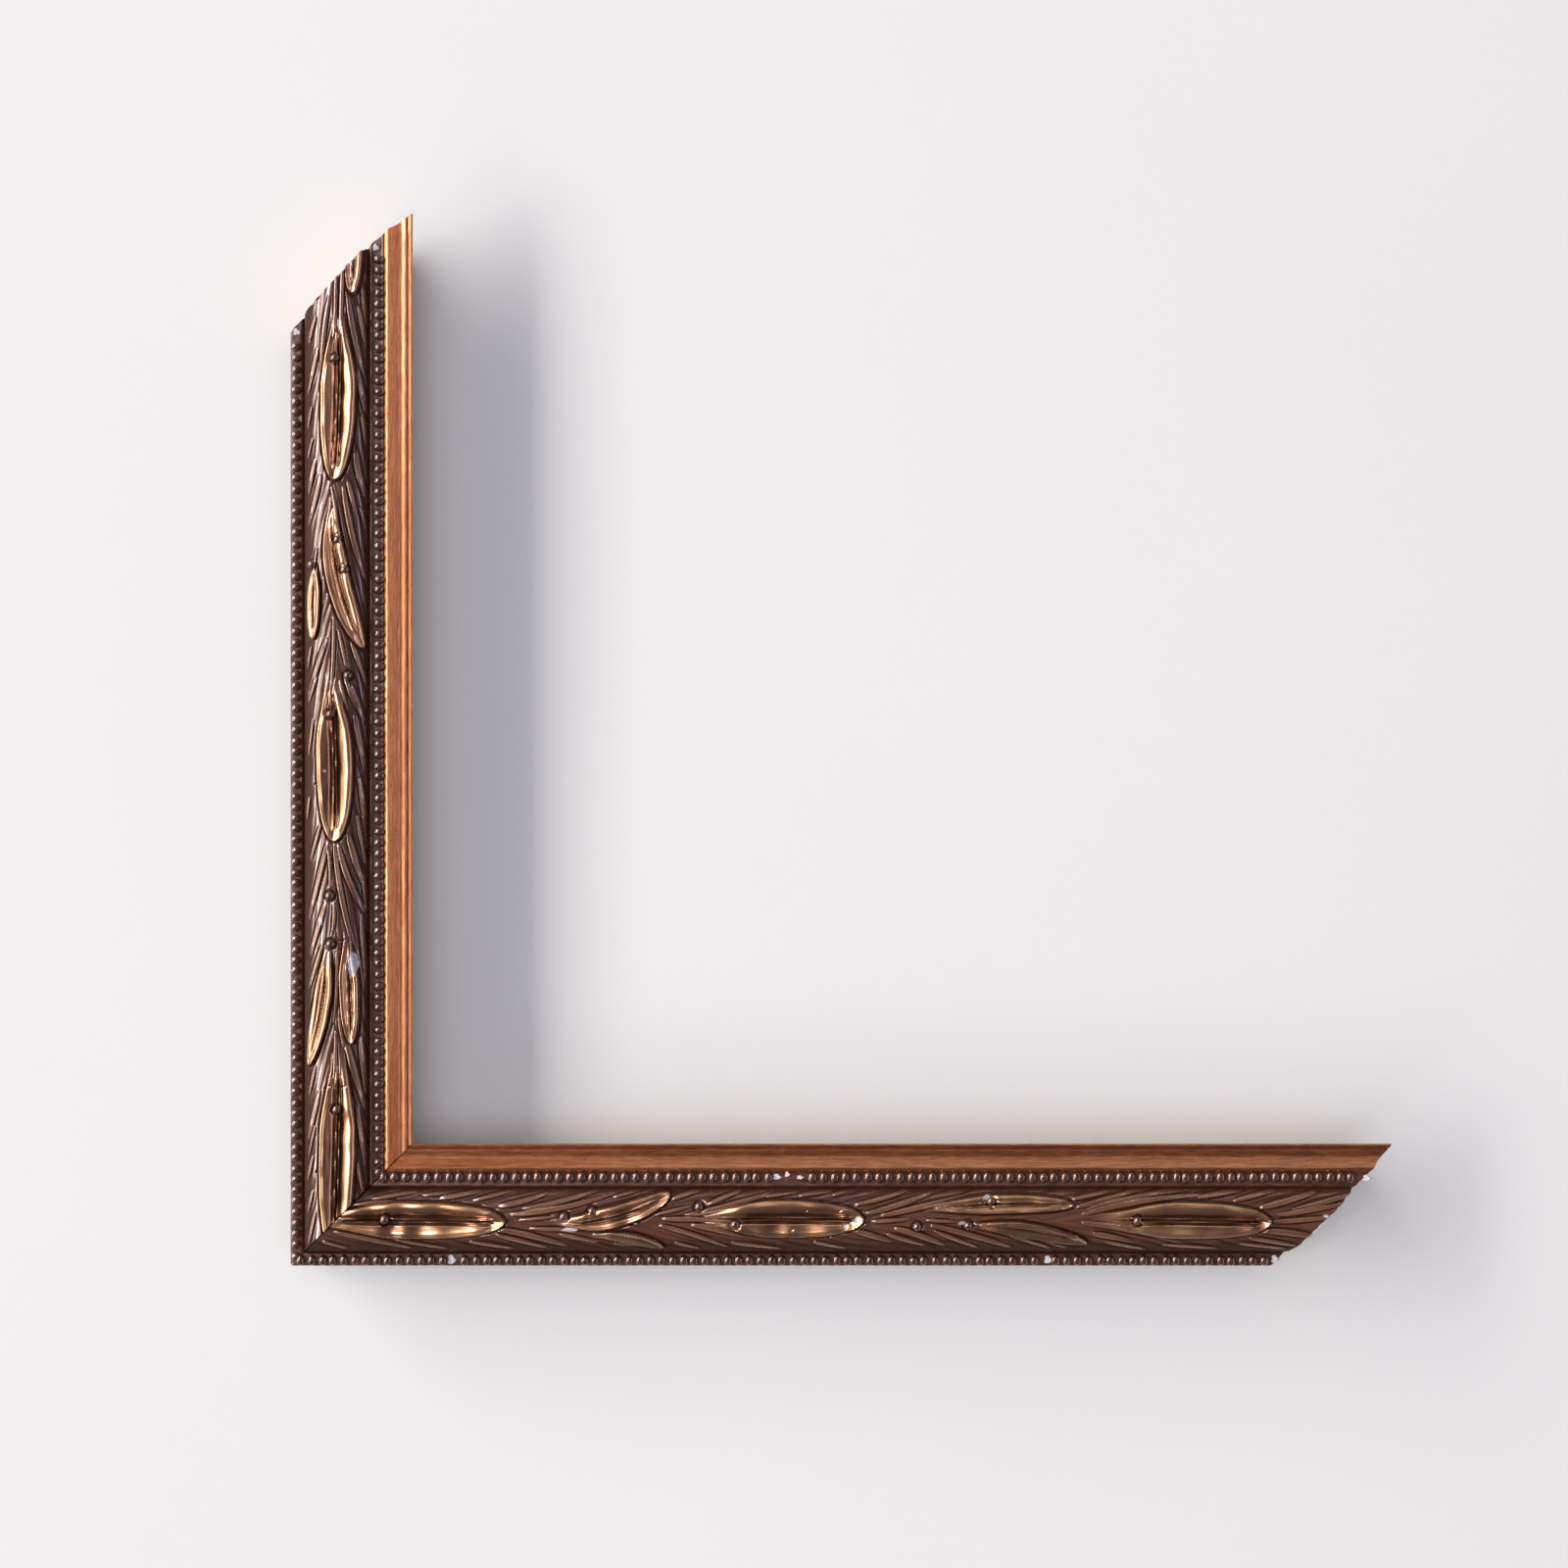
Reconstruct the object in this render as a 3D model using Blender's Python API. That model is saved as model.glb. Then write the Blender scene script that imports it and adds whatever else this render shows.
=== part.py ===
"""Corner sample of picture frame moulding: two mitred lengths of one carved, beaded rail.

Both lengths lie on their backs. The cross rail runs along +X and the upright rail along +Y
from their shared outer corner, and the carved face looks up, along +Z. Each rail is modelled
in its own frame: s runs along it from the corner, u across it from the outer edge to the
sight edge, and z up from the back. The face runs, from the outer edge: beads, hollow, crowned
field with bay leaves and berries, hollow, beads, fillet, and a plain scooped lip that hangs
over the rabbet and ends in a small round at the sight edge.
"""
import math

import bmesh
import bpy

MM = 0.001

# Plan of the two lengths, at the outer edges
RAIL_WIDTH = 25.0 * MM
CROSS_LENGTH = 200.0 * MM
UPRIGHT_LENGTH = 190.0 * MM
MITRE_GAP = 0.3 * MM
END_SPARE = 4.0 * MM

# Heights above the back
OUTER_GROUND = 13.7 * MM
CROWN = 18.9 * MM
FIELD_INNER_EDGE = 15.6 * MM
INNER_GROUND = 16.1 * MM
HOLLOW_DEPTH = 0.5 * MM
ARRIS = 16.5 * MM
SCOOP_FLOOR = 14.0 * MM
SIGHT_TOP = 14.3 * MM
LIP_UNDERSIDE = 10.4 * MM

# Places across the rail, from the outer edge
OUTER_BEADS = 1.2 * MM
FIELD_START = 3.0 * MM
FIELD_END = 16.1 * MM
INNER_BEADS = 18.5 * MM
FILLET = 19.6 * MM
LIP_START = 20.5 * MM
SIGHT_ROUND = 0.7 * MM
NOSE_UNDERCUT = 0.6 * MM
RABBET_WIDTH = 6.0 * MM
BACK_EASE = 0.5 * MM
WALL_EASE = 0.3 * MM

# How the curved stretches bend, and the straight steps that each is cut into
FIELD_SQUARENESS = 2.2
FIELD_SHOULDER = 0.55
FIELD_STEPS = 8
SCOOP_BEND = 1.8
SCOOP_STEPS = 5
SIGHT_STEPS = 4

# Beads
BEAD_PITCH = 2.2 * MM
BEAD_RADIUS = 0.95 * MM
BEAD_NECK = 0.4
BEAD_SINK = 0.1 * MM
BEAD_MARGIN = 0.2 * MM

# Leaves: heights over the field, and shares of the half width or of the length
LEAF_RIM = 1.0 * MM
LEAF_BLADE = 0.4 * MM
LEAF_RIB = 0.75 * MM
LEAF_SINK = 0.4 * MM
RIM_PLACE = 0.8
BLADE_PLACE = 0.5
LEAF_SPREAD = 0.6
LEAF_ROUNDNESS = 0.6
LEAF_FULLEST = 1.2
LEAF_BOW = 1.5
LEAF_STUB = 0.12
LEAF_SWELL = 0.2
LEAF_CELLS = (7, 6)
CARVING_ROOT = 12.0 * MM

# Veins: the slanting leaf edges that run down the sides of the field
VEIN_RADIUS = 0.9 * MM
VEIN_SINK = 0.3 * MM
VEIN_RUN = 11.0 * MM
VEIN_BOW = 0.8
VEIN_TAPER = ((0.0, 0.35), (0.4, 1.0), (1.0, 0.3))
OUTER_VEIN_ACROSS = (7.2 * MM, 4.0 * MM)
INNER_VEIN_ACROSS = (12.4 * MM, 15.4 * MM)

# Berries
BERRY_RADIUS = 0.95 * MM
BERRY_LIFT = 0.5

# Leaves in mm, from stalk to tip: s and u at the stalk, s and u at the tip, half width.
# Their tips point away from the corner on the cross rail and towards it on the upright rail.
CROSS_LEAVES = [
    (7.9, 10.1, 44.1, 10.1, 3.7),
    (53.4, 9.5, 77.8, 15.3, 2.2),
    (62.4, 7.0, 76.6, 4.3, 1.3),
    (88.0, 10.0, 116.7, 10.0, 3.6),
    (129.7, 13.0, 159.4, 13.4, 1.9),
    (140.6, 7.0, 161.6, 5.4, 1.7),
    (170.1, 10.0, 199.2, 10.0, 3.6),
]
UPRIGHT_LEAVES = [
    (205.5, 13.6, 197.7, 13.6, 1.9),
    (188.6, 10.1, 160.1, 10.1, 3.6),
    (152.0, 10.2, 125.9, 15.3, 2.2),
    (143.1, 5.9, 127.9, 5.4, 1.5),
    (117.4, 9.8, 87.1, 9.8, 3.6),
    (67.0, 13.3, 46.0, 13.3, 1.9),
    (64.0, 7.4, 41.6, 4.8, 1.8),
    (45.6, 10.5, 4.6, 10.5, 3.6),
]
# Berries in mm: s and u
CROSS_BERRIES = [
    (20.2, 10.5), (56.4, 11.1), (62.1, 12.2), (83.7, 13.0), (91.0, 9.5),
    (127.8, 9.1), (138.1, 9.3), (142.8, 14.1), (172.3, 10.3),
]
UPRIGHT_BERRIES = [
    (184.5, 10.1), (147.9, 10.7), (142.9, 5.3), (141.8, 12.1), (120.4, 12.7),
    (112.6, 9.3), (75.9, 9.1), (66.2, 9.3), (32.7, 10.5),
]
# Where the veins on each side of the field begin, in mm of s
CROSS_OUTER_VEINS = [6, 16, 43.5, 52, 79, 88, 103, 119.3, 128, 164, 172, 184, 200]
CROSS_INNER_VEINS = [16, 26, 38.2, 46, 74.2, 85.1, 96, 106, 117.7, 162, 171, 184, 196.8, 206]
UPRIGHT_OUTER_VEINS = [193.1, 186.6, 177, 168.4, 160.5, 127, 118, 104, 90.1, 82, 74.5, 36.3, 24, 12.2]
UPRIGHT_INNER_VEINS = [197.5, 182.6, 172, 164.9, 156.5, 118.4, 109.5, 98, 87.6, 79, 46.2, 32.3, 21.5]

# The outer corner's place, which puts the middle of the whole on the origin
CORNER = (-(CROSS_LENGTH + RAIL_WIDTH) / 2, -(UPRIGHT_LENGTH + RAIL_WIDTH) / 2, 0.0)


def clear_scene():
    for item in list(bpy.data.objects):
        bpy.data.objects.remove(item, do_unlink=True)


def new_collection(name, parent=None):
    collection = bpy.data.collections.new(name)
    (parent or bpy.context.scene.collection).children.link(collection)
    return collection


def make_material(name, color, roughness, metallic):
    material = bpy.data.materials.new(name)
    material.use_nodes = True
    shader = material.node_tree.nodes["Principled BSDF"]
    shader.inputs["Base Color"].default_value = (*color, 1.0)
    shader.inputs["Roughness"].default_value = roughness
    shader.inputs["Metallic"].default_value = metallic
    return material


def new_object(name, data, collection):
    item = bpy.data.objects.new(name, data)
    collection.objects.link(item)
    return item


def mesh_of(curve_object, collection):
    """Turns a curve object into a closed mesh object at the same place."""
    evaluated = curve_object.evaluated_get(bpy.context.evaluated_depsgraph_get())
    mesh = bpy.data.meshes.new_from_object(evaluated)
    welder = bmesh.new()
    welder.from_mesh(mesh)
    bmesh.ops.remove_doubles(welder, verts=welder.verts, dist=0.002 * MM)
    bmesh.ops.recalc_face_normals(welder, faces=welder.faces)
    welder.to_mesh(mesh)
    welder.free()
    solid = new_object(curve_object.name + "_solid", mesh, collection)
    solid.matrix_world = curve_object.matrix_world.copy()
    bpy.data.objects.remove(curve_object, do_unlink=True)
    return solid


def prism(name, outline, height, collection):
    """A closed flat outline, thickened by half the height to each side of its plane."""
    curve = bpy.data.curves.new(name, "CURVE")
    curve.dimensions = "2D"
    curve.fill_mode = "BOTH"
    curve.extrude = height / 2
    spline = curve.splines.new("POLY")
    spline.points.add(len(outline) - 1)
    for point, (x, y) in zip(spline.points, outline):
        point.co = (x, y, 0.0, 1.0)
    spline.use_cyclic_u = True
    return new_object(name, curve, collection)


def tube(name, stations, radius, collection):
    """A four-sided tube with a sharp top edge through (x, y, z, share of the radius)."""
    curve = bpy.data.curves.new(name, "CURVE")
    curve.dimensions = "3D"
    curve.bevel_depth = radius
    curve.bevel_resolution = 0
    curve.use_fill_caps = True
    spline = curve.splines.new("POLY")
    spline.points.add(len(stations) - 1)
    for point, (x, y, z, share) in zip(spline.points, stations):
        point.co = (x, y, z, 1.0)
        point.radius = share
    return mesh_of(new_object(name, curve, collection), collection)


def field_height(across):
    """Height of the crowned field under its leaves, full in the middle and steep at its edges."""
    middle = (FIELD_START + FIELD_END) / 2
    place = (across - middle) / (FIELD_END - middle)
    edge = OUTER_GROUND if place < 0 else FIELD_INNER_EDGE
    fullness = max(0.0, 1.0 - abs(place) ** FIELD_SQUARENESS) ** FIELD_SHOULDER
    return edge + (CROWN - edge) * fullness


def rail_outline():
    """Cross-section of the rail without its carving, as (u, z) from the back round to the rabbet."""
    bead_reach = BEAD_RADIUS + BEAD_MARGIN
    outline = [(BACK_EASE, 0.0), (0.0, BACK_EASE), (0.0, OUTER_GROUND - WALL_EASE)]
    outline += [(WALL_EASE / 2, OUTER_GROUND), (OUTER_BEADS + bead_reach, OUTER_GROUND)]
    outline.append((FIELD_START - WALL_EASE, OUTER_GROUND - HOLLOW_DEPTH))

    for step in range(FIELD_STEPS + 1):
        share = (1 - math.cos(math.pi * step / FIELD_STEPS)) / 2
        across = FIELD_START + (FIELD_END - FIELD_START) * share
        outline.append((across, field_height(across)))

    outline.append((FIELD_END + WALL_EASE, INNER_GROUND - HOLLOW_DEPTH))
    outline += [(INNER_BEADS - bead_reach, INNER_GROUND), (FILLET, INNER_GROUND)]
    outline += [(FILLET + WALL_EASE, ARRIS), (LIP_START, ARRIS)]

    scoop_end = RAIL_WIDTH - 2 * SIGHT_ROUND
    for step in range(1, SCOOP_STEPS + 1):
        share = step / SCOOP_STEPS
        across = LIP_START + (scoop_end - LIP_START) * share
        outline.append((across, SCOOP_FLOOR + (ARRIS - SCOOP_FLOOR) * (1 - share) ** SCOOP_BEND))

    for step in range(1, SIGHT_STEPS + 1):
        angle = math.pi * (1 - step / SIGHT_STEPS)
        across = RAIL_WIDTH - SIGHT_ROUND + SIGHT_ROUND * math.cos(angle)
        outline.append((across, SIGHT_TOP - SIGHT_ROUND + SIGHT_ROUND * math.sin(angle)))

    rabbet_wall = RAIL_WIDTH - RABBET_WIDTH
    outline += [(RAIL_WIDTH - NOSE_UNDERCUT, LIP_UNDERSIDE), (rabbet_wall, LIP_UNDERSIDE)]
    outline += [(rabbet_wall, BACK_EASE), (rabbet_wall - BACK_EASE, 0.0)]
    return outline


def make_blank(name, length, side, collection):
    """The plain rail: its cross-section drawn flat, made long and laid along +X."""
    outline = [(side * across, height) for across, height in rail_outline()]
    full = length + RAIL_WIDTH + 2 * END_SPARE
    section = prism(name + "_section", outline, full, collection)
    section.rotation_euler = (math.pi / 2, 0.0, math.pi / 2)
    section.location = (full / 2 - END_SPARE, 0.0, 0.0)
    bpy.context.view_layer.update()
    blank = mesh_of(section, collection)
    blank.data.transform(blank.matrix_world)
    blank.matrix_world.identity()
    blank.name = name
    return blank


def make_bead_row(name, length, across, ground, side, collection):
    """A string of beads: full at each bead's middle and narrow between beads."""
    halves = round((length + RAIL_WIDTH + END_SPARE) / BEAD_PITCH) * 2
    stations = []
    for half in range(halves + 1):
        along = half * BEAD_PITCH / 2 - END_SPARE / 2
        share = BEAD_NECK if half % 2 else 1.0
        stations.append((along, side * across, ground - BEAD_SINK, share))
    tube(name, stations, BEAD_RADIUS, collection)


def leaf_rise(place):
    """Height of a leaf over the field at a place across it, from 0 at the rib to 1 at the foot."""
    if place > RIM_PLACE:
        return LEAF_RIM - (LEAF_RIM + LEAF_SINK) * (place - RIM_PLACE) / (1 - RIM_PLACE)
    if place > BLADE_PLACE:
        return LEAF_BLADE + (LEAF_RIM - LEAF_BLADE) * (place - BLADE_PLACE) / (RIM_PLACE - BLADE_PLACE)
    return LEAF_RIB + (LEAF_BLADE - LEAF_RIB) * place / BLADE_PLACE


def make_leaf(name, leaf, side, collection):
    """A pointed oval leaf with raised rims and a rib, laid on the crown and rooted in the rail."""
    stalk_s, stalk_u, tip_s, tip_u, half_width = (value * MM for value in leaf)
    shaper = bmesh.new()
    bmesh.ops.create_grid(shaper, x_segments=LEAF_CELLS[0], y_segments=LEAF_CELLS[1], size=0.5)
    for vert in shaper.verts:
        along = (1 - math.cos(math.pi * (vert.co.x + 0.5))) / 2
        place = abs(2 * vert.co.y) ** LEAF_SPREAD
        fullness = math.sin(math.pi * along**LEAF_FULLEST) ** LEAF_ROUNDNESS
        reach = half_width * max(LEAF_STUB, fullness)
        centre = stalk_u + (tip_u - stalk_u) * along**LEAF_BOW
        across = centre + math.copysign(place * reach, vert.co.y)
        swell = min(1.0, along / LEAF_SWELL) if along < 0.999 else 0.0
        rise = leaf_rise(place) * swell - LEAF_SINK * (1 - swell)
        vert.co = (stalk_s + (tip_s - stalk_s) * along, side * across, field_height(across) + rise)
    sunk = bmesh.ops.extrude_face_region(shaper, geom=shaper.faces[:], use_keep_orig=True)
    for vert in sunk["geom"]:
        if isinstance(vert, bmesh.types.BMVert):
            vert.co.z = CARVING_ROOT
    bmesh.ops.recalc_face_normals(shaper, faces=shaper.faces)
    mesh = bpy.data.meshes.new(name)
    shaper.to_mesh(mesh)
    shaper.free()
    new_object(name, mesh, collection)


def make_vein(name, start, heading, ends, side, collection):
    """A tapered ridge from high on the crown down to the edge of the field."""
    stations = []
    for share, fullness in VEIN_TAPER:
        across = ends[0] + (ends[1] - ends[0]) * share**VEIN_BOW
        along = start * MM + heading * VEIN_RUN * share
        stations.append((along, side * across, field_height(across) - VEIN_SINK, fullness))
    tube(name, stations, VEIN_RADIUS, collection)


def make_berry(name, berry, side, collection):
    along, across = (value * MM for value in berry)
    place = (along, side * across, field_height(across) + BERRY_RADIUS * BERRY_LIFT)
    bpy.ops.mesh.primitive_uv_sphere_add(segments=6, ring_count=4, radius=BERRY_RADIUS, location=place)
    item = bpy.context.object
    item.name = name
    for owner in list(item.users_collection):
        owner.objects.unlink(item)
    collection.objects.link(item)


def mitred_plan(length, side):
    """Plan of a rail between the corner mitre and the like-handed cut at its free end."""
    low, high = -END_SPARE, RAIL_WIDTH + END_SPARE
    gap = MITRE_GAP / 2 * math.sqrt(2)
    plan = [(low + gap, low), (length + low, low), (length + high, high), (high + gap, high)]
    return [(x, side * y) for x, y in plan]


def add_boolean(rail, name, operation):
    modifier = rail.modifiers.new(name, "BOOLEAN")
    modifier.operation = operation
    modifier.solver = "MANIFOLD"
    return modifier


def make_rail(name, length, side, heading, leaves, berries, veins, material, parts, operands):
    """One length of moulding: blank, then its carving, then the two end cuts."""
    rail = make_blank(name, length, side, parts)
    group = new_collection(name + "_carving", operands)
    make_bead_row(name + "_outer_beads", length, OUTER_BEADS, OUTER_GROUND, side, group)
    make_bead_row(name + "_inner_beads", length, INNER_BEADS, INNER_GROUND, side, group)
    for number, leaf in enumerate(leaves):
        make_leaf(f"{name}_leaf_{number}", leaf, side, group)
    for row, (ends, starts) in enumerate(zip((OUTER_VEIN_ACROSS, INNER_VEIN_ACROSS), veins)):
        for number, start in enumerate(starts):
            make_vein(f"{name}_vein_{row}_{number}", start, heading, ends, side, group)
    for number, berry in enumerate(berries):
        make_berry(f"{name}_berry_{number}", berry, side, group)

    saw = prism(name + "_saw", mitred_plan(length, side), 4 * CROWN, operands)
    bpy.context.view_layer.update()
    saw = mesh_of(saw, operands)
    for item in list(group.objects) + [saw]:
        item.parent = rail
        item.hide_render = True
        item.display_type = "WIRE"

    carving = add_boolean(rail, "carving", "UNION")
    carving.operand_type = "COLLECTION"
    carving.collection = group
    add_boolean(rail, "end_cuts", "INTERSECT").object = saw
    rail.data.materials.append(material)
    rail.data.shade_smooth()
    rail.data.set_sharp_from_angle(angle=math.radians(30))
    rail.location = CORNER
    return rail


def main():
    clear_scene()
    parts = new_collection("picture_frame_moulding")
    operands = new_collection("carving_and_cutters")
    cross_bronze = make_material("cross_rail_bronzed_wood", (0.13, 0.07, 0.035), 0.35, 0.4)
    upright_bronze = make_material("upright_rail_bronzed_wood", (0.16, 0.08, 0.04), 0.35, 0.4)

    make_rail(
        "cross_rail", CROSS_LENGTH, 1, 1, CROSS_LEAVES, CROSS_BERRIES,
        (CROSS_OUTER_VEINS, CROSS_INNER_VEINS), cross_bronze, parts, operands,
    )
    upright = make_rail(
        "upright_rail", UPRIGHT_LENGTH, -1, -1, UPRIGHT_LEAVES, UPRIGHT_BERRIES,
        (UPRIGHT_OUTER_VEINS, UPRIGHT_INNER_VEINS), upright_bronze, parts, operands,
    )
    upright.rotation_euler = (0.0, 0.0, math.pi / 2)


main()
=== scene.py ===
"""Looks for the corner sample of carved picture frame moulding.

Two mitred lengths of one rail lie on their backs. Everything is made in the rail's own frame and
then laid in place: s runs along a rail from the shared outer corner, u across it from the outer
edge to the sight edge, and z up from the back, all in millimetres until the mesh is written.
"""
import math

import bmesh
import bpy
import numpy as np
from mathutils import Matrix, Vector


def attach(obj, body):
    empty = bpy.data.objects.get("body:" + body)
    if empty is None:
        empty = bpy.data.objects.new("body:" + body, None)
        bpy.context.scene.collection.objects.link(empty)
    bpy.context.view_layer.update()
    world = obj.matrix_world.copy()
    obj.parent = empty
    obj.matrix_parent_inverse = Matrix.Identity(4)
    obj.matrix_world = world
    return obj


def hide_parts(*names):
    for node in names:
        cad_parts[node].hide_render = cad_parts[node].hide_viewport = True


bl_info = {
    "name": "Carved Moulding Corner",
    "version": (1, 0, 0),
    "blender": (4, 5, 0),
    "location": "View3D > Sidebar > Moulding",
    "description": "Bronzed leaf-and-berry picture frame moulding, mitred at one corner",
    "category": "Add Mesh",
}

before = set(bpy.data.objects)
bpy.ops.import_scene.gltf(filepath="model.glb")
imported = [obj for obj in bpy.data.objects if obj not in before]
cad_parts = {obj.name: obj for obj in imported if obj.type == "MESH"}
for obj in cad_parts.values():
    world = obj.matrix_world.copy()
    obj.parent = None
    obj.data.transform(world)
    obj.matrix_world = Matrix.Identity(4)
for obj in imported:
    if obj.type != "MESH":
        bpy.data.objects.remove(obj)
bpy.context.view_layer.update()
MM = 0.001


def hex_colour(code):
    """The linear colour of an sRGB hex code, with full opacity."""
    shares = [int(code[place : place + 2], 16) / 255 for place in (0, 2, 4)]
    linear = [c / 12.92 if c <= 0.04045 else ((c + 0.055) / 1.055) ** 2.4 for c in shares]
    return (*linear, 1.0)


# Heights of the rail above its back, and places across it from the outer edge, in mm
OUTER_GROUND, CROWN, FIELD_INNER_EDGE, INNER_GROUND, TALLEST = 13.7, 18.9, 15.6, 16.1, 20.25
FIELD_START, FIELD_END = 3.0, 16.1
FIELD_SQUARENESS, FIELD_SHOULDER = 2.2, 0.55
OUTER_BEADS, INNER_BEADS = 1.2, 18.5
STRIP_START, STRIP_END = 2.72, 16.38
SEAT_DEPTH, SKIRT_DEPTH, SKIRT_LEAST = 1.3, 1.7, 0.2
WALL_SKIN = 0.02

# The mitre is tight up to one height and open above another, in mm
MITRE_TOUCH, MITRE_OPENS, MITRE_OPENING_RUN = 0.02, 10.5, 3.0

# Cells of the meshes, in mm along the rail, and across the carved field in all
FIELD_CELL, BODY_CELL, FIELD_CELLS_ACROSS = 0.222, 0.5, 104

# Leaves, in mm: half width of a full one, lobe to lobe along its rim, and the crease round its foot
FULL_LEAF, LOBE_PITCH = 2.6, 7.4
CREASE_WIDTH, CREASE_DEPTH = 0.5, 0.35
# Each midrib is a pair of lines beside a furrow: place and width of a line, then of its hollow
RIB_LINE, RIB_HOLLOW = (0.3, 0.16), (0.75, 0.24)
# Blades wider than this to each side have a split back, this deep and wide
SPLIT_BLADE, SPLIT_DEPTH, SPLIT_WIDTH = 0.68, 0.16, 0.12
# Fine strokes fan out from the middle of the field: its place, their slant, and one to the next
FAN_MIDDLE, FAN_SLANT, STROKE_PITCH = 9.6, 0.24, 1.45
# Hollows round berries, flakes, pinholes and cracks
BERRY_HOLLOW, FLAKE_DEPTH, PIT_DEPTH, PIT_RADIUS, CRACK_DEPTH, CRACK_WIDTH = 0.3, 0.14, 0.5, 0.17, 0.3, 0.12
# Beads: spare at the mitre and at the sawn end, and the most half width that clears the wall
BEAD_START, BEAD_STOP, BEAD_REACH, BEAD_SINK = 0.9, 0.75, 1.17, 0.05

# The eye over the work: above the sight edge, and along and across each rail. A stroke's place is
# given as it is seen from there, and what stands higher really lies a little nearer the eye.
EYE_HEIGHT = 480.0
CROSS_EYE, UPRIGHT_EYE = (100.9, 98.5), (98.5, 100.9)

# Leaves as seen: s and u at the stalk, s and u at the tip, bow of the middle, half width
CROSS_LEAVES = (
    (3.0, 9.3, 43.9, 8.9, 0.0, 3.75),
    (52.9, 8.9, 77.7, 14.7, -2.0, 2.3),
    (60.9, 6.1, 76.5, 3.8, 0.9, 1.25),
    (82.0, 9.5, 117.3, 9.3, 0.0, 3.8),
    (127.9, 11.3, 160.3, 12.3, 0.6, 1.9),
    (137.9, 8.1, 162.9, 4.6, 0.9, 1.7),
    (163.5, 9.3, 200.7, 8.9, 0.0, 3.75),
)
UPRIGHT_LEAVES = (
    (215.0, 13.1, 198.8, 12.5, 0.0, 1.75),
    (197.2, 9.6, 160.6, 8.9, 0.35, 3.55),
    (158.6, 8.9, 126.2, 14.9, -2.5, 2.4),
    (144.6, 5.1, 128.0, 4.6, -0.2, 1.6),
    (122.4, 8.1, 86.7, 8.9, 0.3, 3.75),
    (69.0, 11.3, 45.2, 12.3, 0.0, 1.95),
    (67.4, 7.6, 41.0, 3.8, 0.9, 1.9),
    (46.8, 9.9, 2.4, 8.9, 0.0, 3.7),
)
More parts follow.
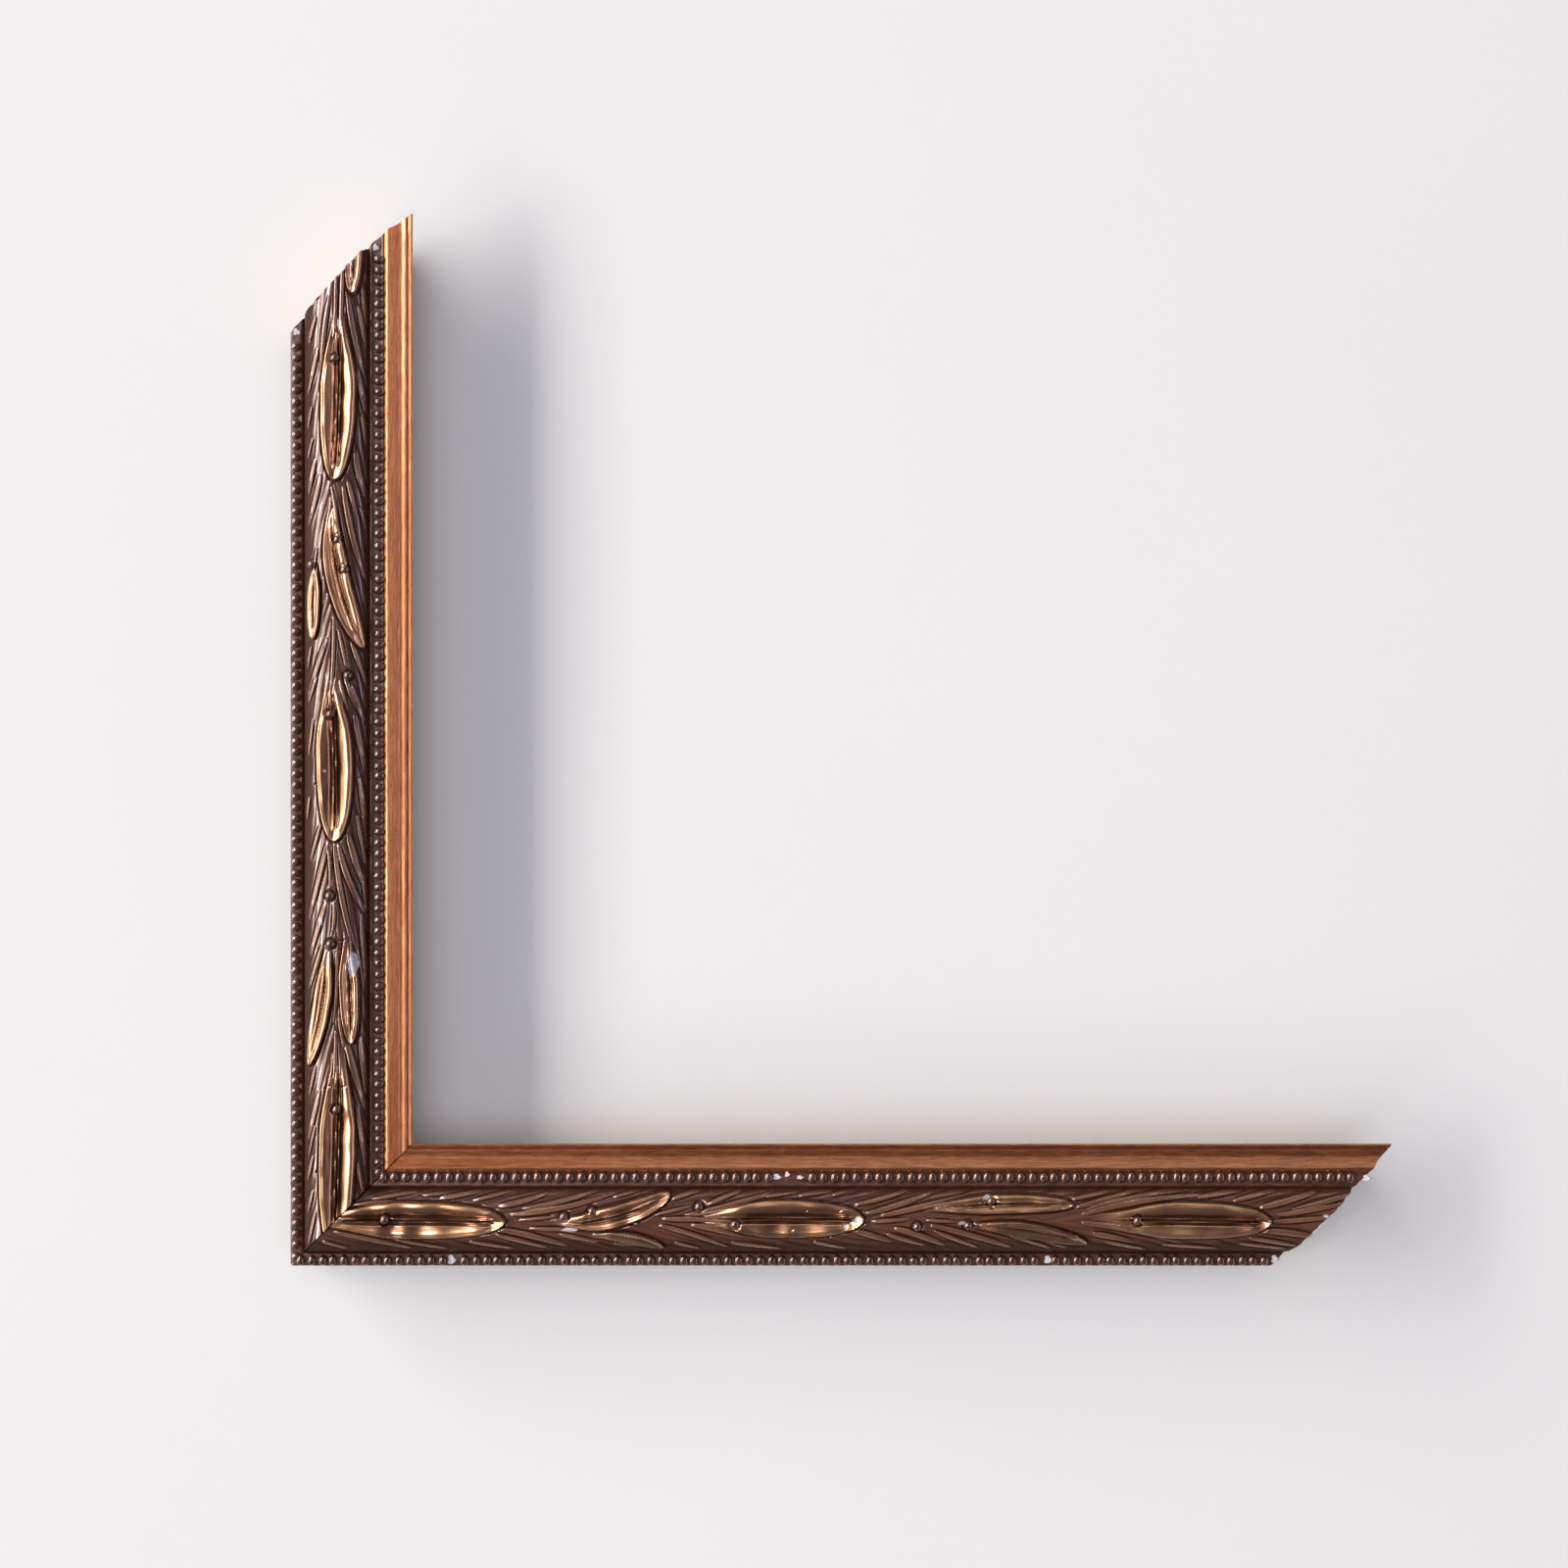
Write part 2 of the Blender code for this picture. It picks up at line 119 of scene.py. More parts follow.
# Narrow blades and stems as seen: s and u where they start and end, bow, half width
CROSS_RIDGES = (
    (16.5, 13.4, 25.9, 15.0, 0.1, 0.6), (12.3, 12.2, 23.0, 12.9, 0.2, 0.6),
    (26.9, 14.3, 33.0, 14.8, 0.0, 0.5), (30.5, 13.7, 38.9, 15.2, -0.1, 0.7),
    (37.3, 13.2, 45.3, 15.2, 0.0, 0.6), (42.5, 12.0, 52.9, 14.9, -0.3, 0.75),
    (47.5, 11.4, 62.9, 15.4, -0.3, 0.75), (45.0, 10.3, 65.0, 14.2, -0.5, 0.8),
    (46.9, 9.2, 55.0, 10.0, 0.0, 0.5), (48.9, 7.5, 60.0, 7.3, 0.0, 0.6),
    (66.0, 13.9, 71.5, 15.4, 0.0, 0.5), (77.7, 13.4, 84.1, 15.6, 0.0, 0.65),
    (73.9, 10.2, 82.0, 12.0, 0.0, 0.55), (85.3, 12.4, 92.3, 15.4, 0.0, 0.65),
    (80.5, 10.0, 98.9, 14.9, -0.2, 0.8), (76.0, 9.4, 88.0, 9.2, 0.1, 0.7),
    (97.0, 14.0, 104.0, 14.9, 0.0, 0.5), (103.9, 14.2, 110.9, 15.2, 0.0, 0.6),
    (110.9, 14.3, 114.5, 15.3, 0.0, 0.5), (115.5, 12.3, 126.9, 15.6, -0.2, 0.65),
    (117.7, 10.5, 131.9, 15.2, -0.3, 0.75), (120.9, 10.1, 138.9, 14.2, 0.0, 0.8),
    (118.9, 8.9, 126.9, 9.4, 0.0, 0.6), (130.0, 9.2, 137.0, 8.8, 0.0, 0.5),
    (115.5, 7.0, 122.9, 5.0, 0.1, 0.8), (123.5, 7.5, 133.9, 4.2, 0.4, 0.85),
    (121.9, 6.4, 129.9, 4.2, 0.0, 0.6), (131.5, 7.1, 140.9, 3.7, 0.0, 0.6),
    (130.9, 8.1, 147.9, 3.7, 0.4, 0.8), (140.9, 8.2, 155.9, 3.5, 0.2, 0.65),
    (147.9, 7.0, 158.9, 3.7, 0.1, 0.6), (160.9, 11.8, 173.9, 15.5, 0.0, 0.7),
    (160.0, 13.4, 168.0, 15.2, 0.0, 0.6), (162.9, 11.3, 184.9, 15.6, 0.6, 0.7),
    (161.9, 10.3, 188.9, 14.3, 0.9, 0.7), (185.9, 13.8, 194.9, 15.2, 0.1, 0.65),
    (192.9, 13.1, 201.9, 15.4, 0.0, 0.65), (198.5, 11.7, 210.3, 15.1, -0.1, 0.85),
    (204.9, 11.1, 216.9, 14.5, -0.1, 0.8), (201.9, 10.2, 216.0, 12.6, -0.1, 0.7),
    (200.9, 8.8, 213.9, 9.8, 0.0, 0.7), (198.9, 7.0, 209.9, 5.8, 0.3, 0.9),
    (196.0, 5.6, 206.0, 4.1, 0.1, 0.65), (193.9, 4.6, 203.9, 3.5, 0.0, 0.55),
    (164.0, 6.5, 172.5, 4.8, 0.2, 0.8), (161.9, 8.6, 182.9, 4.5, 0.7, 0.85),
    (166.5, 5.0, 175.5, 3.3, 0.0, 0.6), (75.5, 8.1, 89.9, 3.8, 0.4, 0.65),
    (78.5, 4.8, 83.9, 3.6, 0.0, 0.55), (82.0, 8.2, 92.9, 5.8, 0.3, 0.8),
    (106.9, 4.9, 113.9, 3.6, 0.0, 0.6), (8.9, 6.8, 25.9, 3.5, 0.2, 0.7),
    (6.5, 5.0, 12.0, 3.6, 0.0, 0.55), (20.9, 5.5, 32.9, 3.5, 0.0, 0.6),
    (42.0, 7.4, 56.9, 4.1, 0.4, 0.85), (42.0, 6.3, 52.9, 3.7, 0.1, 0.65),
    (36.5, 5.0, 45.9, 3.6, 0.0, 0.6), (66.0, 4.6, 76.9, 3.7, 0.2, 0.55),
    (90.0, 4.8, 101.0, 3.5, 0.0, 0.6), (178.0, 4.4, 190.0, 3.6, 0.0, 0.55),
    (55.0, 6.4, 63.0, 4.9, 0.0, 0.6), (62.0, 9.6, 72.0, 8.2, 0.4, 0.6),
)
UPRIGHT_RIDGES = (
    (194.2, 5.1, 188.2, 3.7, 0.0, 0.6), (198.6, 7.9, 182.6, 6.1, -0.3, 0.65),
    (187.6, 5.5, 178.6, 3.7, 0.1, 0.7), (182.0, 4.5, 177.6, 3.5, 0.0, 0.5),
    (175.6, 4.3, 170.6, 3.5, 0.0, 0.5), (169.2, 4.5, 164.6, 3.5, 0.0, 0.5),
    (165.0, 5.1, 157.2, 3.7, -0.1, 0.7), (162.0, 6.1, 150.6, 3.5, 0.3, 0.75),
    (128.6, 7.5, 114.2, 3.4, -0.2, 0.75), (132.6, 8.7, 114.6, 7.9, 0.3, 0.5),
    (126.6, 4.2, 121.6, 3.5, 0.0, 0.5), (120.6, 5.4, 114.6, 3.6, 0.0, 0.55),
    (96.0, 3.9, 90.5, 3.3, 0.0, 0.5), (90.2, 6.1, 82.6, 4.1, 0.0, 0.6),
    (86.6, 7.5, 70.2, 3.7, 0.1, 0.75), (85.6, 7.5, 76.9, 7.9, 0.3, 0.5),
    (74.2, 7.1, 63.0, 4.0, 0.0, 0.75), (74.0, 8.7, 66.9, 8.1, 0.4, 0.5),
    (65.6, 6.5, 56.4, 3.8, 0.0, 0.65), (61.6, 7.3, 48.0, 3.7, -0.2, 0.7),
    (41.0, 5.1, 34.6, 3.8, 0.0, 0.55), (36.0, 5.9, 25.0, 3.6, 0.0, 0.7),
    (22.6, 4.6, 17.0, 3.5, 0.0, 0.55), (15.6, 4.6, 10.4, 3.5, 0.0, 0.55),
    (11.2, 5.1, 4.0, 3.6, 0.0, 0.6), (204.0, 7.6, 197.0, 5.0, 0.0, 0.6),
    (198.6, 11.5, 181.6, 15.1, -0.3, 0.75), (194.6, 10.3, 183.6, 12.1, -0.2, 0.6),
    (200.6, 14.5, 192.2, 15.3, 0.0, 0.6), (196.6, 13.7, 187.0, 15.5, 0.0, 0.65),
    (183.6, 13.4, 174.4, 15.3, 0.0, 0.85), (174.5, 14.4, 168.0, 15.3, 0.0, 0.6),
    (166.9, 13.1, 157.4, 15.2, -0.3, 0.85), (160.8, 11.5, 153.6, 13.3, 0.0, 0.6),
    (159.4, 10.7, 140.4, 15.2, -0.5, 0.8), (159.2, 8.3, 150.6, 9.9, 0.0, 0.5),
    (155.2, 14.2, 150.6, 15.3, 0.0, 0.5), (127.8, 12.3, 119.0, 15.4, 0.0, 0.65),
    (130.0, 9.7, 122.4, 11.3, 0.0, 0.5), (119.0, 12.0, 111.0, 15.0, 0.0, 0.75),
    (119.6, 9.9, 113.0, 11.5, 0.0, 0.55), (121.0, 10.8, 114.0, 13.2, 0.0, 0.6),
    (112.6, 13.0, 101.0, 15.1, 0.0, 0.85), (99.8, 13.9, 90.0, 15.0, 0.1, 0.7),
    (92.0, 13.4, 82.0, 15.2, 0.0, 0.55), (88.0, 11.6, 76.6, 15.2, -0.1, 0.8),
    (86.2, 9.6, 72.0, 15.2, -0.6, 0.8), (86.4, 8.9, 64.2, 13.1, -0.6, 0.75),
    (80.0, 14.6, 72.0, 15.4, 0.0, 0.5), (72.0, 14.2, 58.0, 15.2, 0.0, 0.6),
    (46.0, 11.2, 31.8, 15.2, -0.1, 0.9), (46.8, 14.1, 35.0, 15.3, 0.0, 0.8),
    (32.4, 13.4, 20.0, 15.3, 0.0, 0.75), (21.0, 13.4, 14.6, 14.7, 0.0, 0.65),
    (48.0, 9.1, 33.0, 9.1, 0.0, 0.5), (53.0, 10.0, 44.2, 11.1, -0.4, 0.55),
    (64.0, 9.3, 49.6, 8.7, 0.3, 0.5), (147.0, 5.4, 139.0, 4.2, 0.0, 0.5),
    (112.0, 4.6, 104.0, 3.7, 0.0, 0.5), (28.6, 5.0, 22.0, 3.7, 0.0, 0.5),
    (204.0, 9.2, 188.0, 8.9, 0.0, 0.5), (204.0, 10.5, 191.0, 10.1, 0.0, 0.6),
)
# Berries in place: s and u
CROSS_BERRIES = (
    (20.2, 10.5), (56.4, 11.1), (62.1, 12.2), (83.7, 13.0), (91.0, 9.5),
    (127.8, 9.1), (138.1, 9.3), (142.8, 14.1), (172.3, 10.3),
)
UPRIGHT_BERRIES = (
    (184.5, 10.1), (147.9, 10.7), (142.9, 5.3), (141.8, 12.1), (120.4, 12.7),
    (112.6, 9.3), (75.9, 9.1), (66.2, 9.3), (32.7, 10.5),
)
# Places where the bronze has flaked to the gesso, as seen: s, u, half length, half width
CROSS_FLAKES = (
    (57.0, 7.3, 2.0, 0.45), (116.1, 9.4, 0.7, 0.9), (113.5, 8.0, 0.5, 0.45),
    (142.3, 13.8, 0.7, 0.5), (137.2, 8.6, 0.7, 0.4), (211.9, 10.0, 0.5, 0.3),
)
UPRIGHT_FLAKES = (
    (61.5, 12.7, 2.4, 1.0), (70.4, 6.1, 0.8, 0.45), (65.9, 8.1, 0.45, 0.4),
)
# Pinholes in the cast ornament, as seen: s and u
CROSS_PITS = ((105.5, 11.2), (102.5, 7.2), (110.1, 5.8), (106.1, 5.8), (112.3, 11.2))
UPRIGHT_PITS = ((166.0, 9.9), (101.2, 6.9), (98.6, 5.1), (19.2, 5.3))
# Shrinkage cracks, as seen: s, and u where they start and end
CROSS_CRACKS = ()
UPRIGHT_CRACKS = ((66.6, 9.6, 12.4), (36.6, 6.6, 11.6))
# Beads knocked off down to the gesso: s, u, half length, half width, height over the ground
CROSS_LOST_BEADS = (
    (33.0, 1.3, 0.95, 1.15, 0.45), (154.9, 1.3, 0.95, 0.95, 0.55), (99.5, 18.6, 1.0, 0.7, 0.5),
    (101.6, 19.1, 0.6, 0.6, 0.4), (104.2, 18.5, 0.8, 0.45, 0.6), (201.2, 1.4, 0.9, 0.9, 0.5),
    (219.4, 18.4, 0.9, 0.7, 0.6),
)
UPRIGHT_LOST_BEADS = (
    (190.9, 1.3, 0.8, 0.8, 0.5), (207.6, 17.9, 0.8, 0.7, 0.5),
)
# How far the saw ran past the length, at these places across the rail
SAW_PLACES = (0.0, 3.0, 7.0, 11.0, 14.0, 16.5, 19.0, 22.0, 24.3, 25.0)
CROSS_SAW = (0.4, 0.5, 0.5, 0.5, 0.45, 0.3, 0.5, 0.5, 0.3, 0.0)
UPRIGHT_SAW = (1.1, 1.05, 0.5, 0.7, 1.1, 1.5, 1.3, 0.8, 0.35, 0.0)


class Rail:
    """One length of moulding, which way its strokes fan, how far a leaf's tip shines, and its carving."""

    def __init__(self, name, seed, heading, tip, eye, saw, strokes):
        self.name, self.seed, self.heading, self.tip = name, seed, heading, tip
        self.eye, self.saw = eye, saw
        self.leaves, self.ridges, self.berries, self.flakes = strokes[:4]
        self.pits, self.cracks, self.lost = strokes[4:]

    def length(self, sizes):
        """How long it is along its outer edge, in mm."""
        return (sizes.cross_length if self is CROSS else sizes.upright_length) / MM


CROSS = Rail("cross_rail", 11, 1, 2.4, CROSS_EYE, CROSS_SAW, (
    CROSS_LEAVES, CROSS_RIDGES, CROSS_BERRIES, CROSS_FLAKES, CROSS_PITS, CROSS_CRACKS, CROSS_LOST_BEADS))
UPRIGHT = Rail("upright_rail", 23, -1, 0.5, UPRIGHT_EYE, UPRIGHT_SAW, (
    UPRIGHT_LEAVES, UPRIGHT_RIDGES, UPRIGHT_BERRIES, UPRIGHT_FLAKES, UPRIGHT_PITS, UPRIGHT_CRACKS,
    UPRIGHT_LOST_BEADS))


def size_property(name, description, size):
    """A length that a user may change, given in mm."""
    return bpy.props.FloatProperty(
        name=name, description=description, default=size * MM, unit="LENGTH", precision=5)


def colour_property(name, description, code):
    """A colour that a user may change, given as an sRGB hex code."""
    return bpy.props.FloatVectorProperty(
        name=name, description=description, default=hex_colour(code), subtype="COLOR", size=4)


def power_property(name, description, watts):
    """A light's power, which a user may change."""
    return bpy.props.FloatProperty(name=name, description=description, default=watts, unit="POWER")


class MOULDING_PG_sizes(bpy.types.PropertyGroup):
    rail_width: size_property("Rail Width", "Outer edge to sight edge", 25.0)
    cross_length: size_property("Cross Length", "Cross rail along its outer edge", 200.0)
    upright_length: size_property("Upright Length", "Upright rail along its outer edge", 190.0)
    mitre_gap: size_property("Mitre Gap", "Open joint between the two mitres", 0.2)
    bead_pitch: size_property("Bead Pitch", "From one bead to the next", 2.237)
    bead_length: size_property("Bead Length", "One bead, along the rail", 1.85)
    bead_width: size_property("Bead Width", "One bead, across the rail", 2.3)
    bead_height: size_property("Bead Height", "Bead over the ground it sits on", 0.95)
    berry_radius: size_property("Berry Radius", "One berry", 0.9)


class MOULDING_PG_carving(bpy.types.PropertyGroup):
    rim_rise: size_property("Rim Rise", "Leaf rim over the field", 1.15)
    rib_rise: size_property("Rib Rise", "Midrib over the bowl of its leaf", 0.5)
    blade_rise: size_property("Blade Rise", "Narrow blades and stems over the field", 0.5)
    filler_rise: size_property("Filler Rise", "Shallow strokes that fill the ground", 0.13)
    chip_depth: size_property("Chip Depth", "Most that is broken from a sawn edge", 0.45)


class MOULDING_PG_finish(bpy.types.PropertyGroup):
    # Patina is also the painted shade on the field's outer side and on its slope to the sight edge
    patina: colour_property("Patina", "Dark wax left in the hollows", "30180c")
    umber: colour_property("Umber", "Toned bronze on the field", "613c2a")
    russet: colour_property("Russet", "Warmer streaks in the toning", "68371f")
    gold: colour_property("Gold", "Bronze powder rubbed bright on the leaves", "c6976c")
    burnish: colour_property("Burnish", "Bronze rubbed bright on beads and berries", "5e4236")
    copper: colour_property("Copper", "Plain lip", "d68d55")
    copper_shade: colour_property("Copper Shade", "Darker brush lines on the lip", "b06b3e")
    stain: colour_property("Stain", "Outer wall", "3a2217")
    wood: colour_property("Wood", "Bare rabbet, back and cut ends", "c69f70")
    gesso: colour_property("Gesso", "Chalk ground where the finish is lost", "cfcbd2")
    board: colour_property("Board", "Table that the sample lies on", "e7e8e7")


class MOULDING_PG_studio(bpy.types.PropertyGroup):
    key_window: power_property("Key Window", "Long window at the left", 362.0)
    north_window: power_property("North Window", "Its far end, seen in the gloss only", 190.0)
    south_window: power_property("South Window", "Its near end, kept out of the gloss", 45.0)
    overhead_soft: power_property("Overhead", "Wide soft light above, kept out of the gloss", 26.0)
    back_card: power_property("Back Card", "Pale card high behind, seen in the gloss only", 33.0)
    north_card: power_property("North Card", "Pale card low behind, seen in the gloss only", 12.0)
    west_card: power_property("West Card", "Pale card high at the left, seen in the gloss only", 26.0)
    right_strip: power_property("Right Strip", "Weak cool strip, seen in the gloss only", 27.0)
    room_light: bpy.props.FloatProperty(
        name="Room", description="Light from the room all round", default=0.18, min=0.0)
    camera_angle: bpy.props.FloatProperty(
        name="Camera Angle", description="Field of view", default=math.radians(36.9), subtype="ANGLE")


# Shape of the rail


def field_height(across):
    """Height of the crowned field under its leaves, full in the middle and steep at its edges."""
    middle = (FIELD_START + FIELD_END) / 2
    place = (across - middle) / (FIELD_END - middle)
    edge = np.where(place < 0, OUTER_GROUND, FIELD_INNER_EDGE)
    fullness = np.clip(1.0 - np.abs(place) ** FIELD_SQUARENESS, 0.0, 1.0) ** FIELD_SHOULDER
    return edge + (CROWN - edge) * fullness


# The closed cross-section without its carving, as runs of one finish: the places (u, z) where each of
# its faces begins
SECTION = (
    ("wood", (16.0, 0.0), (10.0, 0.0), (4.0, 0.0)),
    ("stain", (0.5, 0.0), (0.12, 0.12), *((0.0, z) for z in np.linspace(0.5, 13.3, 9))),
    ("bronze", (0.03, 13.52), (0.12, 13.66), *((u, OUTER_GROUND) for u in np.linspace(0.25, 2.3, 7)),
     (2.45, 13.62), (2.6, 13.42), (2.75, 13.2)),
    ("wood", (2.95, 13.0), *((u, float(field_height(u)) - SEAT_DEPTH) for u in np.linspace(3.35, 15.7, 12))),
    ("bronze", (16.12, 15.2), (16.35, 15.45), (16.5, 15.75), (16.65, 15.98), (16.85, 16.14), (17.05, 16.15),
     (17.25, 16.03), *((u, INNER_GROUND - 0.12) for u in np.linspace(17.45, 19.2, 6)), (19.36, 16.06),
     (19.5, 15.95)),
    ("copper", (19.58, 15.85), (19.64, 16.02), (19.72, 16.14), (19.8, 16.21), (20.2, 16.47), (20.3, 16.5),
     (20.42, 16.49), (20.56, 16.4), (20.7, 16.22), (20.85, 16.0), (21.1, 15.66), (21.35, 15.32),
     (21.6, 14.98), (21.82, 14.69), (22.0, 14.45), (22.14, 14.28), (22.3, 14.13), (22.48, 14.02),
     (22.68, 13.97), (22.9, 13.98), (23.12, 14.02), (23.34, 14.08), (23.6, 14.11), (23.72, 14.06)),
    ("bronze", (23.82, 13.95), (23.95, 13.88)),
    ("copper", (24.1, 13.91), (24.28, 14.07), (24.42, 14.19), (24.56, 14.26), (24.7, 14.28), (24.84, 14.22),
     (24.94, 14.08), (25.0, 13.85), (25.0, 13.5)),
    ("stain", (24.95, 13.1), (24.8, 12.2), (24.6, 11.3)),
    ("wood", (24.4, 10.4), (22.0, 10.4), (19.3, 10.4), (19.0, 10.2), (19.0, 8.0), (19.0, 5.0), (19.0, 2.5),
     (19.0, 0.5), (18.85, 0.15), (18.5, 0.0), (16.0, 0.0)),
)
BODY_FINISHES = ["bronze", "copper", "stain", "wood"]


def smooth(value):
    """0 below 0, 1 above 1 and an easy curve between."""
    value = np.clip(value, 0.0, 1.0)
    return value * value * (3 - 2 * value)


def hill(distance, width):
    """1 in the middle, and next to nothing twice this width away."""
    return np.exp(-((distance / width) ** 2))


def grain(across, along, seed):
    """Soft random hills between 0 and 1, one to each unit of the two coordinates."""
    a, b = across - across.min(), along - along.min()
    lattice = np.random.default_rng(seed).random((int(a.max()) + 3, int(b.max()) + 3))
    i, j = a.astype(int), b.astype(int)
    p, q = smooth(a - i), smooth(b - j)
    low = lattice[i, j] * (1 - p) + lattice[i + 1, j] * p
    high = lattice[i, j + 1] * (1 - p) + lattice[i + 1, j + 1] * p
    return low * (1 - q) + high * q


def true_place(rail, along, across):
    """Where a stroke lies that is seen at this place from the eye."""
    height = float(field_height(np.float64(across))) + 0.8 - OUTER_GROUND
    share = (EYE_HEIGHT - height) / EYE_HEIGHT
    return (rail.eye[0] + (along - rail.eye[0]) * share, rail.eye[1] + (across - rail.eye[1]) * share)


def along_and_aside(s, u, start, end, bow):
    """For points near a bowed stroke: the share of the way along it, and the distance to its side."""
    share = np.linspace(0.0, 1.0, 25)
    lift = 4 * bow * share * (1 - share)
    line = np.stack(
        [start[0] + (end[0] - start[0]) * share, start[1] + (end[1] - start[1]) * share + lift], 1)
    nearest = np.full(s.shape, 1e9)
    along, aside = np.zeros(s.shape), np.full(s.shape, 1e9)
    for step, (p, q) in enumerate(zip(line[:-1], line[1:])):
        run, rise = q - p
        t = np.clip(((s - p[0]) * run + (u - p[1]) * rise) / (run * run + rise * rise), 0.0, 1.0)
        off_s, off_u = s - p[0] - t * run, u - p[1] - t * rise
        distance = np.hypot(off_s, off_u)
        closer = distance < nearest
        nearest = np.where(closer, distance, nearest)
        along = np.where(closer, (step + t) / (len(line) - 1), along)
        aside = np.where(closer, np.where(off_u >= 0, distance, -distance), aside)
    return along, aside


def near(s, u, start, end, bow, margin):
    """Which points lie in the box round a stroke."""
    low_u, high_u = min(start[1], end[1]) - abs(bow), max(start[1], end[1]) + abs(bow)
    inside = (s > min(start[0], end[0]) - margin) & (s < max(start[0], end[0]) + margin)
    return np.nonzero(inside & (u > low_u - margin) & (u < high_u + margin))[0]


def leaf_reach(along, half_width):
    """Half width of a leaf along its length: it opens from the stalk and draws in to a blunt point."""
    opening = 0.3 + 0.7 * smooth(along / 0.48)
    closing = np.sqrt(np.clip(1 - np.clip((along - 0.5) / 0.5, 0, 1) ** 2.6, 0.0, 1.0))
    return half_width * opening * closing


def carve_leaf(rail, leaf, s, u, rise, gilt, carving):
    """Lay one leaf over the ground: round rims, a bowl between them and a rib down its middle."""
    start, end = true_place(rail, *leaf[0:2]), true_place(rail, *leaf[2:4])
    bow, half_width = leaf[4:6]
    spots = near(s, u, start, end, bow, half_width + 1.0)
    along, aside = along_and_aside(s[spots], u[spots], start, end, bow)
    length = math.hypot(end[0] - start[0], end[1] - start[1])
    way = along * length
    reach = leaf_reach(along, half_width)
    edge_along = 1 - np.linspace(1.0, 0.0, 500) ** 1.6
    edge_aside = leaf_reach(edge_along, half_width)
    inward = np.hypot(way[:, None] - edge_along * length, np.abs(aside)[:, None] - edge_aside).min(1)
    inward = np.where(np.abs(aside) < reach, inward, -inward)

    # The rim's lobes swell and sink unevenly, and each side has its own
    size = min(1.0, half_width / FULL_LEAF)
    side = np.sign(aside)
    seed = rail.seed + round(start[0])
    phase = 0.8 * start[0] + 1.9 * side + 3.0 * grain(way / 11, side, seed)
    wave = np.sin(2 * np.pi * along * length / LOBE_PITCH + phase) * smooth((1 - along) / 0.15) * size
    wave *= 0.2 + 1.2 * grain(way / 5 + 7 * side + 9, side, seed + 1)
    rim = carving.rim_rise / MM * (0.72 + 0.28 * size) * (1 + 0.1 * side + 0.14 * wave)

    # From its edge inwards a leaf rises to a round shoulder and falls into its bowl, but near the tip
    # the bowl starts at the edge and is one open slope
    to_tip = (1 - along) * length
    open_tip = 1 - smooth((to_tip - rail.tip * size) / (1.9 * size))
    shoulder = (0.45 + 0.3 * (side > 0)) * size
    foot = smooth(inward / 0.2) * 0.7 + 0.3 * np.sin(np.pi / 2 * np.clip(inward / shoulder, 0, 1))
    foot = foot + (smooth(inward / 0.2) - foot) * open_tip
    span = 2.25 * size * (1 + 0.12 * wave) * (1 + 0.25 * (side < 0))
    span += (2.5 * size - span) * open_tip
    depth = (inward - (0.8 - 0.6 * open_tip) * size) / span
    bowl = 1 - 0.25 * smooth(depth) - 0.75 * np.clip(depth, 0.0, 1.0)
    roll = 0.1 * size * hill(inward - 0.75 * size, 0.18 * size) * (1 - open_tip)

    rib = carving.rib_rise / MM * size * (
        hill(np.abs(aside) - RIB_LINE[0], RIB_LINE[1])
        - 0.5 * hill(np.abs(aside) - RIB_HOLLOW[0], RIB_HOLLOW[1]))
    rib *= smooth((inward - 0.9 * size) / 0.8) * smooth(along / 0.08) * smooth((to_tip - 1.8) / 1.6)
    height = rim * foot * bowl - 0.5 * size * (1 - bowl) + rib - roll
    height += 0.07 * (grain(aside / 0.7 + 40, along * length / 6 + 3, rail.seed + 5) - 0.5)

    swell = smooth(along / 0.3)
    inside = inward > 0
    covered = np.where(inside, height * swell + (1 - swell) * rise[spots], rise[spots])
    crease = np.clip(1 + inward / CREASE_WIDTH, 0, 1) * ~inside * (along < 1.0)
    rise[spots] = covered - CREASE_DEPTH * crease * swell
    rubbed = np.maximum(gilt[spots], size * smooth(along / 0.36) * (0.4 + 0.6 * bowl))
    gilt[spots] = np.where(inside, rubbed, gilt[spots])


def carve_ridge(rail, ridge, s, u, rise, gilt, carving):
    """Raise one narrow blade or stem: half round, tapered at both ends, some with a split back."""
    start, end = true_place(rail, *ridge[0:2]), true_place(rail, *ridge[2:4])
    bow, half_width = ridge[4:6]
    spots = near(s, u, start, end, bow, 1.2)
    along, aside = along_and_aside(s[spots], u[spots], start, end, bow)
    taper = np.sin(np.pi * np.clip(along, 0.0, 1.0) ** 0.75) ** 0.55
    across = np.abs(aside) / (0.8 * half_width * (0.35 + 0.65 * taper))
    top = carving.blade_rise / MM * (0.6 + 0.6 * half_width)
    height = top * taper * np.sqrt(np.clip(1 - across * across, 0, 1))
    if half_width > SPLIT_BLADE:
        height -= SPLIT_DEPTH * taper * hill(aside, SPLIT_WIDTH)
    level = rise[spots]
    groove = 0.3 * taper * np.clip(1 - np.abs(across - 1.15) / 0.35, 0, 1)
    rise[spots] = np.where(across < 1, np.maximum(level, height), level - groove)
    gilt[spots] = np.maximum(gilt[spots], 0.2 * taper * (across < 0.75))


